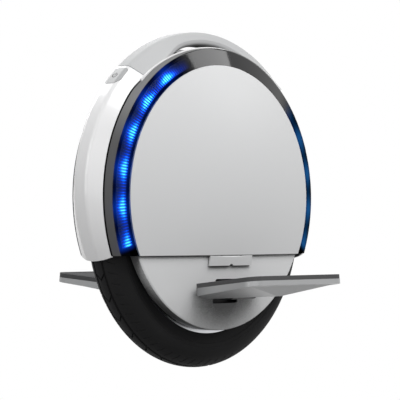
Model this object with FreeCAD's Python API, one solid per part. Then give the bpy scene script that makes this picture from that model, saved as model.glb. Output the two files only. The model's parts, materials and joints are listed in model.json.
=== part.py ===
import FreeCAD, Part
import math
import os

# Electric unicycle: one driven wheel in a round body, a carry handle on top and a folding pedal on each side.
# Origin on the ground under the axle, +X to the front, +Y to the left, +Z up, millimetres.

Vec = FreeCAD.Vector

# Driving sizes of the wheel
TYRE_R = 206.0
TYRE_HALF = 27.0
TYRE_WALL = 4.0
TYRE_DEPTH = 51.6
BED_WALL = 4.0
FLANGE_RISE = 3.1
FLANGE_T = 1.9
BEAD_WIDTH = 5.4
TUBE_WALL = 1.6
GROOVE_Y = 8.0
GROOVE_WIDTH = 2.2
GROOVE_DEPTH = 2.0

# Driving sizes of the hub motor
RIM_DEPTH = 23.4
ROTOR_WALL = 6.0
ROTOR_INSET = 7.5
WEB_HALF = 4.0
COVER_T = 3.5
COVER_STEP = 0.5
MAGNET_T = 3.4
MAGNET_INSET = 3.5
MAGNET_COUNT = 30
MAGNET_SPAN = 10.8
AIR_GAP = 0.9
CORE_INSET = 1.0
TOOTH_COUNT = 27
TOOTH_HALF = 5.5
TOOTH_TIP = 4.0
TIP_SPAN = 10.6
TOOTH_LENGTH = 28.7
YOKE_WALL = 12.0
COIL_T = 5.2
COIL_LENGTH = 18.0
COIL_OVERHANG = 3.2
HUB_HALF = 6.0
HUB_WEB = 19.025
HUB_HOLES = 6
COVER_SCREWS = 12
COVER_SCREW_R = 2.0
COVER_HEAD_R = 3.6
COVER_HEAD_H = 2.0
VALVE_R = 3.0
VALVE_Y = 11.0

# Driving sizes of the axle and its bearings
AXLE_R = 10.0
AXLE_COLLAR = 2.0
AXLE_END_R = 8.0
AXLE_FLATS = 12.0
AXLE_BORE_R = 3.5
BEARING_R = 21.0
BEARING_WIDTH = 12.0
BEARING_INSET = 6.5
RACE_T = 3.2
BALL_R = 3.1
BALL_COUNT = 9
BOSS_WALL = 6.0
WASHER_R = 15.0
WASHER_T = 2.5
NUT_AF = 24.0
NUT_H = 10.0
AXLE_TAIL = 3.5

# Driving sizes of the body
BODY_RISE = 33.0
SEAM_SHARE = 0.4426
SEAM_GAP = 0.5
WELL_GAP = 3.0
FRAME_T = 4.0
FRAME_INSET = 10.0
FRAME_BOSS_R = 20.0
FRAME_BOSS_H = 10.0
FRAME_RIB_T = 3.0
FRAME_RIB_H = 5.0
FRAME_RIB_INSET = 60.0
FRAME_RIB_ANGLES = (-15.0, -40.0, -140.0, -165.0)
LINER_GAP = 7.0
LINER_T = 2.5
LINER_START = 16.0

# Driving sizes of the light ring
BODY_MARGIN = 9.0
RING_BEVEL = 8.0
RING_BAND = 24.0
RING_RISE = 4.0
CREASE_ROUND = 2.0
RING_T = 2.6
PANEL_GAP = 0.4
WELL_RIM_RISE = 18.7
WELL_RIM_DROP = 26.5
RAIL_T = 2.0
RAIL_RISE = 1.8
RAIL_ROUND = 0.8
RAIL_START = 47.0
RAMP_START = 40.4
RAMP_END = 47.5
GUIDE_START = -21.0
GUIDE_END = 76.0
GUIDE_WIDTH = 13.5
GUIDE_GAP = 1.2
LED_COUNT = 6
LED_PITCH = 15.4
LED_FIRST = -17.9
LED_SIZE = 5.0
LED_H = 1.6
LED_INSET = 9.0
STRIP_T = 1.2
STRIP_HALF = 4.6

# Driving sizes of the side panels
DOME_RISE = 23.3
DOME_HEIGHT = 37.4
PANEL_T = 2.6
LOWER_INSET = 3.0
LOWER_SINK = 6.0
LOWER_STEP = 4.4
LOWER_ROUND = 2.0
LOWER_LAP = 1.4
SLOT_HALF = 25.6
SLOT_DROP = 15.0
SLOT_RISE = 19.0
SLOT_ROUND = 3.0
BOSS_R = 4.0
POST_INSET = 30.0

# Driving sizes of the white shell, the handle and its sleeve
HOOD_RISE = 16.0
CROWN_TAPER = 8.0
TAPER_START = 14.0
TAPER_END = -23.0
SHOULDER_HALF = 11.0
SHOULDER_ROUND = 10.0
SHELL_INSET = 2.15
SHELL_WALL = 2.8
SHELL_FOOT = 3.0
SHELL_START = -27.0
SHELL_END = 49.7
SHELL_STEPS = 18
SHELL_CORNER = 0.6
ROOF_REACH = 30.0
SWING_START = 40.5
LIP_DROP = 7.0
GRIP_START = 50.0
SLEEVE_T = 2.0
HANDLE_HALF = 15.6
HANDLE_T = 19.3
FOOT_START = 51.5
FOOT_END = 56.5
HANDLE_FLARE = (
    (54.5, 0.0),
    (59.0, 0.0),
    (64.0, 0.12),
    (69.0, 0.45),
    (74.0, 0.76),
    (81.0, 0.95),
    (90.0, 1.0),
)

# Driving sizes of the power button and the charging inlet
BUTTON_ANGLE = 44.8
BUTTON_LENGTH = 30.0
BUTTON_HALF = 13.6
BUTTON_TAPER = 5.0
BUTTON_ROUND = 4.0
BUTTON_DEPTH = 6.0
BUTTON_TRAVEL = 1.2
BUTTON_PROUD = 0.4
BUTTON_GAP = 0.35
SWITCH_SIZE = 12.0
SWITCH_PLATE_T = 2.0
SWITCH_H = 5.0
INLET_R = 6.0
INLET_DEPTH = 9.0
INLET_FLOOR = 3.0
CAP_T = 3.6
CAP_BARREL_R = 1.8
CAP_BARREL_HALF = 6.6
CAP_EAR_R = 1.4
CAP_EAR_T = 1.4
CAP_HINGE_GAP = 0.7
CAP_PIN_R = 0.8

# Driving sizes of the pedals
PEDAL_SINK = 5.0
PEDAL_RISE = 13.4
PEDAL_DEPTH = 128.0
PEDAL_ROOT_HALF = 71.0
PEDAL_TIP_HALF = 98.0
PEDAL_TIP_ROUND = 16.0
PEDAL_ROOT_ROUND = 4.0
PEDAL_TILT = 5.7
PAD_T = 6.0
PAD_GROOVE_INSET = 9.0
PAD_GROOVE_WIDTH = 2.0
PAD_GROOVE_DEPTH = 1.2
BAND_ROOT = 11.0
BAND_TIP = 6.5
KEEL_ROOT_HALF = 58.0
KEEL_ROOT_DEPTH = 21.4
KEEL_TIP_HALF = 4.0
KEEL_TIP_Y = 88.0
KEEL_TIP_DEPTH = 25.3
KEEL_SIDE_Y = 87.0
KEEL_INSET = 2.5
KEEL_OUT_HALF = 86.0
KEEL_OUT_INSET = 14.0
HINGE_REACH = 22.0
HINGE_SHARE = 0.7056
PIN_R = 4.0
PIN_HALF = 56.0
LUG_HALF = 24.0
LUG_R = 8.5
LUG_GAP = 1.2
RUNNING = 0.05
HANGER_HALF = 36.0
HANGER_RISE = 30.0
HANGER_T = 7.0
BOLT_R = 3.0
BOLT_HEAD_R = 5.5
BOLT_HEAD_H = 5.0
BOLT_INSET = 7.0

# Driving sizes of the battery latch flaps
FLAP_HALF = 43.4
FLAP_HEIGHT = 14.0
FLAP_T = 2.6
FLAP_BARREL_R = 2.2
FLAP_EAR_R = 1.1
FLAP_PIN_R = 0.6
FLAP_NOTCH_X = 20.0
FLAP_EAR_HALF = 2.2
FLAP_GAP = 0.3
FLAP_NICK_HALF = 5.0

# Driving sizes of the battery and the control board
PACK_HALF_SHARE = 0.574
PACK_LOW = -3.0
PACK_HIGH_SHARE = 0.743
PACK_GAP = 1.2
BOARD_ANGLE = 24.0
BOARD_LENGTH = 78.0
BOARD_HALF = 18.0
BOARD_T = 1.6
SINK_BASE = 2.0
SINK_H = 5.0
SINK_FINS = 7
SINK_FIN_T = 1.6
CAPACITOR_R = 5.0
CAPACITOR_H = 14.0
CAPACITORS = 3

# Small clearance between pieces of one body that lie against each other
SEAT = 0.1
SMALL = 0.3

# Sizes and places that follow from the driving sizes
AXLE_Z = TYRE_R
BED_R = TYRE_R - TYRE_DEPTH
TORUS_R = TYRE_R - TYRE_HALF
ROTOR_R = BED_R - RIM_DEPTH
ROTOR_HALF = TYRE_HALF - ROTOR_INSET
RIM_HALF = ROTOR_HALF + COVER_T + COVER_STEP
MAGNET_HALF = ROTOR_HALF - MAGNET_INSET
CORE_HALF = MAGNET_HALF - CORE_INSET
STATOR_R = ROTOR_R - MAGNET_T - AIR_GAP
YOKE_R = STATOR_R - TOOTH_LENGTH
HUB_R = YOKE_R - YOKE_WALL
HUB_BORE_R = AXLE_R + AXLE_COLLAR + RUNNING
HUB_HOLE_AT = (HUB_R + HUB_BORE_R) / 2
HUB_HOLE_R = HUB_HOLE_AT * math.sin(math.pi / HUB_HOLES) - HUB_WEB / 2
COVER_R = BED_R - BED_WALL - SMALL
COVER_SCREW_PCD_R = ROTOR_R + ROTOR_WALL / 2
VALVE_BEND_R = (COVER_R + ROTOR_R + ROTOR_WALL) / 2
BEARING_Y = ROTOR_HALF - BEARING_INSET
BALL_TRACK_R = (AXLE_R + BEARING_R) / 2
WELL_HALF = TYRE_HALF + WELL_GAP
FRAME_OUT = WELL_HALF + FRAME_T
BOSS_END = FRAME_OUT + FRAME_BOSS_H
NUT_Y = BOSS_END + WASHER_T
AXLE_HALF = NUT_Y + NUT_H + AXLE_TAIL
BODY_Z = AXLE_Z + BODY_RISE
RING_R = TYRE_R + BODY_MARGIN
RING_CREASE_R = RING_R - RING_BEVEL
RING_CREASE_Y = FRAME_OUT + RING_RISE
PANEL_R = RING_CREASE_R - RING_BAND
RING_INNER_R = PANEL_R + PANEL_GAP
FRAME_R = RING_R - FRAME_INSET
LINER_R = TYRE_R + LINER_GAP + LINER_T
LED_R = PANEL_R + LED_INSET
CROWN_R = RING_R + HOOD_RISE
WELL_RIM_R = RING_R + WELL_RIM_RISE
SEAM_Z = BODY_Z - SEAM_SHARE * PANEL_R
DOME_R = (PANEL_R ** 2 + DOME_RISE ** 2) / (2 * DOME_RISE)
DOME_Y = FRAME_OUT + DOME_HEIGHT
LOWER_R = PANEL_R - LOWER_INSET
LOWER_Z = BODY_Z - LOWER_SINK
LOWER_TOP = DOME_Y - LOWER_STEP
LOWER_EDGE_Y = WELL_HALF - LOWER_LAP
FRAME_RIB_REACH = LOWER_R - FRAME_RIB_INSET
SHELL_HALF = WELL_HALF - SHELL_INSET
SHELL_EDGE_MAX = WELL_HALF - SMALL
RING_LIP_Y = SHELL_HALF + SMALL
SHELL_ANGLES = [SHELL_START + (SHELL_END - SHELL_START) * i / SHELL_STEPS for i in range(SHELL_STEPS + 1)]
HINGE_Z = LOWER_Z - HINGE_SHARE * LOWER_R
PEDAL_ROOT_Y = LOWER_TOP - PEDAL_SINK
PEDAL_ROOT_Z = HINGE_Z + PEDAL_RISE
HINGE_Y = PEDAL_ROOT_Y + HINGE_REACH
PACK_HALF = PANEL_R * PACK_HALF_SHARE
PACK_HIGH = PANEL_R * PACK_HIGH_SHARE
HALF_TURN = 180.0
FAR = 600.0


# Helpers for sketches, turned shapes and placed blocks
def wire_of(path, place):
    """Closed wire through a path: a pair is a straight run, four numbers an arc through a middle point."""
    edges = []
    first = place(*path[0])
    here = first
    for step in path[1:]:
        end = place(*step[-2:])
        if len(step) == 4:
            edges.append(Part.Arc(here, place(*step[:2]), end).toShape())
        else:
            edges.append(Part.LineSegment(here, end).toShape())
        here = end
    if (here - first).Length > 1e-6:
        edges.append(Part.LineSegment(here, first).toShape())
    return Part.Wire(edges)


def turned(path, centre_z, start=0.0, sweep=360.0):
    """Solid turned about the sideways line at centre_z from radius and y; angles rise from +X to +Z."""
    centre = Vec(0, 0, centre_z)
    face = Part.Face(wire_of(path, lambda r, y: Vec(r, y, centre_z)))
    solid = face.revolve(centre, Vec(0, -1, 0), sweep)
    solid.rotate(centre, Vec(0, -1, 0), start)
    return solid


def block(x0, x1, y0, y1, z0, z1):
    return Part.makeBox(x1 - x0, y1 - y0, z1 - z0, Vec(x0, y0, z0))


def rod_y(radius, y0, y1, x, z):
    return Part.makeCylinder(radius, y1 - y0, Vec(x, y0, z), Vec(0, 1, 0))


def rod_x(radius, x0, x1, y, z):
    return Part.makeCylinder(radius, x1 - x0, Vec(x0, y, z), Vec(1, 0, 0))


def mirrored(shape):
    return shape.mirror(Vec(0, 0, 0), Vec(0, 1, 0))


def mirrored_front(shape):
    return shape.mirror(Vec(0, 0, 0), Vec(1, 0, 0))


def spin(shape, degrees, centre_z):
    copy = shape.copy()
    copy.rotate(Vec(0, 0, centre_z), Vec(0, -1, 0), degrees)
    return copy


def patterned(shape, count, centre_z):
    return [spin(shape, 360.0 * i / count, centre_z) for i in range(count)]


def prism(path, place, along):
    return Part.Face(wire_of(path, place)).extrude(along)


def polyhedron(points, faces):
    """Solid with flat faces, each a list of point numbers."""
    shells = []
    for face in faces:
        corners = [points[i] for i in face]
        shells.append(Part.Face(Part.makePolygon(corners + [corners[0]])))
    return Part.makeSolid(Part.makeShell(shells))


def dome_y(r, top=DOME_Y):
    """Height of the side dome at a distance r from its centre."""
    return top - (DOME_R - math.sqrt(DOME_R ** 2 - r ** 2))


def dome_ball(top, centre_z):
    """Large ball whose side is the face of a dome."""
    return Part.makeSphere(DOME_R, Vec(0, top - DOME_R, centre_z))


def dome_solid(radius, top, centre_z):
    """Filled space under a side dome, down to the middle plane."""
    return rod_y(radius, 0, FAR, 0, centre_z).common(dome_ball(top, centre_z))


def dome_disc(radius, top, thickness, centre_z):
    """Round dished plate of even thickness."""
    return dome_solid(radius, top, centre_z).cut(dome_ball(top - thickness, centre_z))


# Wheel: tyre, tube, rim and valve
def tyre():
    bead = BED_R + SEAT
    bead_out = RIM_HALF - FLANGE_T - SEAT
    bead_in = bead_out - BEAD_WIDTH
    clear = BED_R + FLANGE_RISE + SMALL
    inner = TYRE_HALF - TYRE_WALL
    meet = TORUS_R - math.sqrt(inner ** 2 - bead_in ** 2)
    path = [
        (bead, bead_in),
        (bead, bead_out),
        (clear, bead_out),
        (TORUS_R, TYRE_HALF),
        (TYRE_R, 0, TORUS_R, -TYRE_HALF),
        (clear, -bead_out),
        (bead, -bead_out),
        (bead, -bead_in),
        (meet, -bead_in),
        (TORUS_R + inner, 0, meet, bead_in),
    ]
    body = turned(path, AXLE_Z)
    grooves = []
    for y in (-GROOVE_Y, GROOVE_Y):
        floor = TORUS_R + math.sqrt(TYRE_HALF ** 2 - y ** 2) - GROOVE_DEPTH
        half = GROOVE_WIDTH / 2
        cut = [(floor, y - half), (floor, y + half), (TYRE_R, y + half), (TYRE_R, y - half)]
        grooves.append(turned(cut, AXLE_Z))
    return body.cut(Part.makeCompound(grooves))


def inner_tube():
    outer = TYRE_HALF - TYRE_WALL - SMALL
    centre = Vec(TORUS_R, 0, AXLE_Z)
    rings = [Part.Wire(Part.makeCircle(r, centre, Vec(0, 0, 1))) for r in (outer, outer - TUBE_WALL)]
    solids = [Part.Face(ring).revolve(Vec(0, 0, AXLE_Z), Vec(0, 1, 0), 360) for ring in rings]
    return solids[0].cut(solids[1])


def wheel_rim():
    flange_in = RIM_HALF - FLANGE_T
    path = [
        (BED_R, flange_in),
        (BED_R + FLANGE_RISE, flange_in),
        (BED_R + FLANGE_RISE, RIM_HALF),
        (BED_R - BED_WALL, RIM_HALF),
        (BED_R - BED_WALL, WEB_HALF),
        (ROTOR_R + ROTOR_WALL, WEB_HALF),
        (ROTOR_R + ROTOR_WALL, ROTOR_HALF),
        (ROTOR_R, ROTOR_HALF),
    ]
    path = path + [(r, -y) for r, y in reversed(path)]
    rim = turned(path, AXLE_Z)
    return rim.cut(valve(VALVE_R + SEAT))


def valve(radius=VALVE_R):
    """Bent valve stem: out of the tube through the rim bed, then sideways through the motor cover."""
    top = BED_R + SMALL
    outer = WELL_HALF - WELL_GAP / 2 - SMALL
    up = Part.makeCylinder(radius, top - VALVE_BEND_R, Vec(0, VALVE_Y, AXLE_Z - top), Vec(0, 0, 1))
    side = rod_y(radius, VALVE_Y, outer, 0, AXLE_Z - VALVE_BEND_R)
    knee = Part.makeSphere(radius, Vec(0, VALVE_Y, AXLE_Z - VALVE_BEND_R))
    return up.fuse([side, knee]).removeSplitter()


# Hub motor: rotor magnets, covers, stator and windings
def rotor_magnets():
    outer = ROTOR_R - SEAT / 2
    path = [
        (outer - MAGNET_T, -MAGNET_HALF),
        (outer, -MAGNET_HALF),
        (outer, MAGNET_HALF),
        (outer - MAGNET_T, MAGNET_HALF),
    ]
    one = turned(path, AXLE_Z, 0, MAGNET_SPAN)
    return Part.makeCompound(patterned(one, MAGNET_COUNT, AXLE_Z))


def cover_screw_points():
    return [360.0 * (i + 0.5) / COVER_SCREWS for i in range(COVER_SCREWS)]


def cover_screw(radius, head_r, end):
    shank = rod_y(radius, ROTOR_HALF - COVER_T, ROTOR_HALF + COVER_T, COVER_SCREW_PCD_R, AXLE_Z)
    head = rod_y(head_r, ROTOR_HALF + COVER_T, end, COVER_SCREW_PCD_R, AXLE_Z)
    return shank.fuse(head).removeSplitter()


def motor_cover():
    seat_end = BEARING_Y + BEARING_WIDTH
    boss_r = BEARING_R + BOSS_WALL
    path = [
        (BEARING_R, BEARING_Y - 1),
        (BEARING_R, seat_end),
        (AXLE_R + RACE_T + 1, seat_end),
        (AXLE_R + RACE_T + 1, seat_end + 2),
        (boss_r, seat_end + 2),
        (boss_r + 2, ROTOR_HALF + COVER_T),
        (COVER_R, ROTOR_HALF + COVER_T),
        (COVER_R, ROTOR_HALF + SEAT / 2),
        (boss_r + 2, ROTOR_HALF + SEAT / 2),
        (boss_r, BEARING_Y - 1),
    ]
    cover = turned(path, AXLE_Z)
    holes = [spin(rod_y(COVER_SCREW_R + SEAT, 0, FAR, COVER_SCREW_PCD_R, AXLE_Z), a, AXLE_Z)
             for a in cover_screw_points()]
    return cover.cut(Part.makeCompound(holes))


def motor_cover_screws():
    one = cover_screw(COVER_SCREW_R, COVER_HEAD_R, ROTOR_HALF + COVER_T + COVER_HEAD_H)
    left = [spin(one, a, AXLE_Z) for a in cover_screw_points()]
    return Part.makeCompound(left + [mirrored(s) for s in left])


def screw_holes_in_rim(rim):
    hole = rod_y(COVER_SCREW_R + SEAT, ROTOR_HALF - COVER_T - 1, ROTOR_HALF + 1, COVER_SCREW_PCD_R, AXLE_Z)
    left = [spin(hole, a, AXLE_Z) for a in cover_screw_points()]
    return rim.cut(Part.makeCompound(left + [mirrored(h) for h in left]))


def stator_core():
    """Toothed ring cut as one outline: a yoke with straight teeth and wide tips."""
    def at(radius, offset, angle):
        a = math.radians(angle)
        x = radius * math.cos(a) - offset * math.sin(a)
        z = radius * math.sin(a) + offset * math.cos(a)
        return x, z

    tip_in = STATOR_R - TOOTH_TIP
    tip_half = math.radians(TIP_SPAN / 2) * STATOR_R
    root = math.sqrt(YOKE_R ** 2 - TOOTH_HALF ** 2)
    neck = math.sqrt(tip_in ** 2 - TOOTH_HALF ** 2)
    pitch = 360.0 / TOOTH_COUNT
    path = []
    for i in range(TOOTH_COUNT):
        a = i * pitch
        if not path:
            path.append(at(root, -TOOTH_HALF, a))
        else:
            path.append(at(YOKE_R, 0, a - pitch / 2) + at(root, -TOOTH_HALF, a))
        edge = math.sqrt(STATOR_R ** 2 - tip_half ** 2)
        lower = math.sqrt(tip_in ** 2 - tip_half ** 2)
        path.append(at(neck, -TOOTH_HALF, a))
        path.append(at(lower, -tip_half, a))
        path.append(at(edge, -tip_half, a))
        path.append(at(STATOR_R, 0, a) + at(edge, tip_half, a))
        path.append(at(lower, tip_half, a))
        path.append(at(neck, TOOTH_HALF, a))
        path.append(at(root, TOOTH_HALF, a))
    last = at(root, -TOOTH_HALF, 0)
    path.append(at(YOKE_R, 0, -pitch / 2) + last)
    ring = prism(path, lambda x, z: Vec(x, -CORE_HALF, AXLE_Z + z), Vec(0, 2 * CORE_HALF, 0))
    return ring.cut(rod_y(HUB_R + SEAT / 2, -FAR, FAR, 0, AXLE_Z))


def stator_windings():
    inner = TOOTH_HALF + SMALL
    outer = inner + COIL_T
    low = YOKE_R + 2
    high = low + COIL_LENGTH
    end = CORE_HALF + SMALL + COIL_OVERHANG
    coil = block(low, high, -end, end, AXLE_Z - outer, AXLE_Z + outer)
    hole_y = CORE_HALF + SMALL
    coil = coil.cut(block(low - 1, high + 1, -hole_y, hole_y, AXLE_Z - inner, AXLE_Z + inner))
    lengthwise = [e for e in coil.Edges if abs(e.tangentAt(e.FirstParameter).x) > 0.99]
    corners = [e for e in lengthwise if e.BoundBox.YMax ** 2 > hole_y ** 2 + 1]
    coil = coil.makeFillet(COIL_OVERHANG * 0.8, corners)
    return Part.makeCompound(patterned(coil, TOOTH_COUNT, AXLE_Z))


def stator_hub():
    hub = rod_y(HUB_R, -HUB_HALF, HUB_HALF, 0, AXLE_Z).cut(rod_y(HUB_BORE_R, -FAR, FAR, 0, AXLE_Z))
    hole = rod_y(HUB_HOLE_R, -FAR, FAR, HUB_HOLE_AT, AXLE_Z)
    return hub.cut(Part.makeCompound(patterned(hole, HUB_HOLES, AXLE_Z)))


# Axle, bearings, washers and nuts
def axle():
    collar_y = BEARING_Y - SEAT
    shaft = rod_y(AXLE_R, -WELL_HALF + SMALL, WELL_HALF - SMALL, 0, AXLE_Z)
    collar = rod_y(AXLE_R + AXLE_COLLAR, -collar_y, collar_y, 0, AXLE_Z)
    ends = rod_y(AXLE_END_R, -AXLE_HALF, AXLE_HALF, 0, AXLE_Z)
    flat = AXLE_FLATS / 2
    ends = ends.common(block(-FAR, FAR, -FAR, FAR, AXLE_Z - flat, AXLE_Z + flat))
    body = shaft.fuse([collar, ends]).removeSplitter()
    return body.cut(rod_y(AXLE_BORE_R, BEARING_Y, FAR, 0, AXLE_Z))


def bearing_race(inner_r, outer_r):
    ring = rod_y(outer_r, BEARING_Y, BEARING_Y + BEARING_WIDTH, 0, AXLE_Z)
    ring = ring.cut(rod_y(inner_r, 0, FAR, 0, AXLE_Z))
    mid = BEARING_Y + BEARING_WIDTH / 2
    track = Part.makeTorus(BALL_TRACK_R, BALL_R + RUNNING, Vec(0, mid, AXLE_Z), Vec(0, 1, 0))
    return ring.cut(track)


def both_sides(shape):
    return Part.makeCompound([shape, mirrored(shape)])


def bearing_inner_races():
    return both_sides(bearing_race(AXLE_R + SEAT / 4, AXLE_R + RACE_T))


def bearing_outer_races():
    return both_sides(bearing_race(BEARING_R - RACE_T, BEARING_R - SEAT / 4))


def bearing_balls():
    ball = Part.makeSphere(BALL_R, Vec(BALL_TRACK_R, BEARING_Y + BEARING_WIDTH / 2, AXLE_Z))
    left = patterned(ball, BALL_COUNT, AXLE_Z)
    return Part.makeCompound(left + [mirrored(b) for b in left])


def axle_washers():
    washer = rod_y(WASHER_R, BOSS_END, NUT_Y, 0, AXLE_Z)
    return both_sides(washer.cut(rod_y(AXLE_END_R + SEAT, 0, FAR, 0, AXLE_Z)))


def axle_nuts():
    corner = NUT_AF / 2 / math.cos(math.radians(30))
    turns = [math.radians(60 * i) for i in range(6)]
    path = [(corner * math.cos(a), corner * math.sin(a)) for a in turns]
    nut = prism(path, lambda x, z: Vec(x, NUT_Y, AXLE_Z + z), Vec(0, NUT_H, 0))
    return both_sides(nut.cut(rod_y(AXLE_END_R + RUNNING, 0, FAR, 0, AXLE_Z)))


# Body frame: cast side frames and the liner between them
def side_frame():
    upper = rod_y(FRAME_R, WELL_HALF, FRAME_OUT, 0, BODY_Z)
    upper = upper.cut(block(-FAR, FAR, -FAR, FAR, -FAR, SEAM_Z))
    lower = rod_y(LOWER_R - PANEL_T - 2 * SMALL, WELL_HALF, FRAME_OUT, 0, LOWER_Z)
    lower = lower.cut(block(-FAR, FAR, -FAR, FAR, SEAM_Z, FAR))
    boss = rod_y(FRAME_BOSS_R, WELL_HALF, BOSS_END, 0, AXLE_Z)
    ribs = []
    for angle in FRAME_RIB_ANGLES:
        half = FRAME_RIB_T / 2
        rib = block(0, FRAME_RIB_REACH, WELL_HALF, FRAME_OUT + FRAME_RIB_H, AXLE_Z - half, AXLE_Z + half)
        ribs.append(spin(rib, angle, AXLE_Z))
    frame = upper.fuse([lower, boss] + ribs).removeSplitter()
    flat = AXLE_FLATS / 2 + RUNNING
    hole = rod_y(AXLE_END_R + RUNNING, 0, FAR, 0, AXLE_Z)
    hole = hole.common(block(-FAR, FAR, 0, FAR, AXLE_Z - flat, AXLE_Z + flat))
    bolts = [rod_y(BOLT_R + SEAT, 0, FAR, x, z) for x, z in hanger_bolt_points()]
    return frame.cut(Part.makeCompound([hole] + bolts))


def wheel_liner():
    inner = TYRE_R + LINER_GAP
    half = WELL_HALF - SMALL
    path = [(inner, -half), (inner + LINER_T, -half), (inner + LINER_T, half), (inner, half)]
    return turned(path, AXLE_Z, LINER_START, HALF_TURN - 2 * LINER_START)


# Light ring: smoked lens, light guide, light strip and the white rail along the finger well
def ring_y(r):
    """Outer face of the ring's wide band at radius r."""
    fall = (dome_y(PANEL_R) - RING_CREASE_Y) / (RING_CREASE_R - PANEL_R)
    return RING_CREASE_Y + (RING_CREASE_R - r) * fall


def rim_radius(angle):
    """Radius of the finger well's rim about the body centre at an angle."""
    s = WELL_RIM_DROP * math.sin(math.radians(angle))
    return -s + math.sqrt(s ** 2 + WELL_RIM_R ** 2 - WELL_RIM_DROP ** 2)


def above_seam(shape, gap=SEAM_GAP / 2):
    return shape.cut(block(-FAR, FAR, -FAR, FAR, -FAR, SEAM_Z + gap))


def light_ring():
    slope = math.hypot(1, (ring_y(PANEL_R) - RING_CREASE_Y) / (RING_CREASE_R - PANEL_R))
    drop = RING_T * slope
    inner_crease = RING_CREASE_R - RING_T * 0.6
    foot = FRAME_OUT + SEAT
    share = CREASE_ROUND / math.hypot(RING_BEVEL, RING_CREASE_Y - RING_LIP_Y)
    start = (RING_CREASE_R + share * RING_BEVEL, RING_CREASE_Y - share * (RING_CREASE_Y - RING_LIP_Y))
    end_r = RING_CREASE_R - CREASE_ROUND / slope
    end = (end_r, ring_y(end_r))
    middle = tuple((s + e) / 4 + c / 2 for s, e, c in zip(start, end, (RING_CREASE_R, RING_CREASE_Y)))
    path = [
        (RING_R, RING_LIP_Y),
        start,
        middle + end,
        (RING_INNER_R, ring_y(RING_INNER_R)),
        (RING_INNER_R, foot),
        (RING_INNER_R + RING_T, foot),
        (RING_INNER_R + RING_T, ring_y(RING_INNER_R + RING_T) - drop),
        (inner_crease, ring_y(inner_crease) - drop),
        (RING_R - RING_T * 1.5, RING_LIP_Y),
    ]
    ring = above_seam(turned(path, BODY_Z))
    rim = rod_y(WELL_RIM_R, -FAR, FAR, 0, BODY_Z - WELL_RIM_DROP)
    ring = ring.common(rim)
    rail_out = WELL_HALF + RAIL_T + SMALL
    room = [(0, 0), (0, rail_out), (CROWN_R, rail_out), (CROWN_R, 0)]
    room_start = RAIL_START - SMALL
    rail_room = turned(room, BODY_Z, room_start, HALF_TURN - 2 * room_start)
    ramp = shell_ramp()
    return ring.cut(rail_room).cut(ramp).cut(mirrored_front(ramp))


def shell_ramp():
    """Wedge that draws the ring's edge back where the shell swings out over it."""
    out, along = radial((RAMP_START + RAMP_END) / 2)
    reach = RING_R * math.tan(math.radians((RAMP_END - RAMP_START) / 2))
    path = [(-reach, 0), (-reach, RING_LIP_Y - SMALL), (reach, SHELL_EDGE_MAX + 2 * SMALL), (reach, 0)]
    depth = RING_R - PANEL_R
    return prism(path, lambda s, y: Vec(0, y, BODY_Z) + out * PANEL_R + along * s, out * 2 * depth)


def well_rail():
    foot = FRAME_R + SEAT
    outer = WELL_HALF + RAIL_T
    path = [(foot, WELL_HALF), (CROWN_R, WELL_HALF), (CROWN_R, outer), (foot, outer)]
    rail = turned(path, BODY_Z, RAIL_START, HALF_TURN - 2 * RAIL_START)
    top_r = WELL_RIM_R + RAIL_RISE
    top_z = BODY_Z - WELL_RIM_DROP
    rail = rail.common(rod_y(top_r, -FAR, FAR, 0, top_z))
    ridge = [e for e in rail.Edges if abs(e.BoundBox.YMin - outer) < 1e-6
             and all(abs(math.hypot(v.X, v.Z - top_z) - top_r) < 1e-3 for v in e.Vertexes)]
    return rail.makeFillet(RAIL_ROUND, ridge)


def guide_section():
    low = RING_INNER_R + RING_T + SMALL
    high = low + GUIDE_WIDTH
    base = FRAME_OUT + SEAT + STRIP_T + SMALL
    cover = RING_T * math.hypot(1, (ring_y(PANEL_R) - RING_CREASE_Y) / (RING_CREASE_R - PANEL_R)) + GUIDE_GAP
    groove_low = LED_R - LED_SIZE / 2 - SMALL
    groove_high = LED_R + LED_SIZE / 2 + SMALL
    roof = base + LED_H + SMALL
    return [
        (low, base),
        (groove_low, base),
        (groove_low, roof),
        (groove_high, roof),
        (groove_high, base),
        (high, base),
        (high, ring_y(high) - cover),
        (low, ring_y(low) - cover),
    ]


def light_guide():
    front = turned(guide_section(), BODY_Z, GUIDE_START, GUIDE_END - GUIDE_START)
    return Part.makeCompound([front, mirrored_front(front)])


def led_strip():
    base = FRAME_OUT + SEAT
    top = base + STRIP_T
    low = LED_R - STRIP_HALF
    high = LED_R + STRIP_HALF
    path = [(low, base), (high, base), (high, top), (low, top)]
    strip = turned(path, BODY_Z, GUIDE_START, GUIDE_END - GUIDE_START)
    half = LED_SIZE / 2
    led = block(LED_R - half, LED_R + half, top, top + LED_H, BODY_Z - half, BODY_Z + half)
    lamps = [spin(led, LED_FIRST + i * LED_PITCH, BODY_Z) for i in range(LED_COUNT)]
    front = strip.fuse(lamps)
    return Part.makeCompound([front, mirrored_front(front)])


# Side panels
def upper_panel():
    panel = above_seam(dome_disc(PANEL_R, DOME_Y, PANEL_T, BODY_Z))
    posts = []
    for x, up in ((-PANEL_R + POST_INSET, 0), (PANEL_R - POST_INSET, 0), (0, PANEL_R - POST_INSET)):
        post = rod_y(BOSS_R, FRAME_OUT + SEAT, DOME_Y, x, BODY_Z + up)
        posts.append(post)
    solid = dome_solid(PANEL_R, DOME_Y - PANEL_T / 2, BODY_Z)
    posts = [post.common(solid) for post in posts]
    return panel.fuse(posts).removeSplitter()


def slot_block(half, low, high, corner):
    """Upright block with rounded corners along the Y axis."""
    solid = block(-half, half, 0, FAR, low, high)
    edges = [e for e in solid.Edges if abs(e.tangentAt(e.FirstParameter).y) > 0.99]
    return solid.makeFillet(corner, edges)


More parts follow.
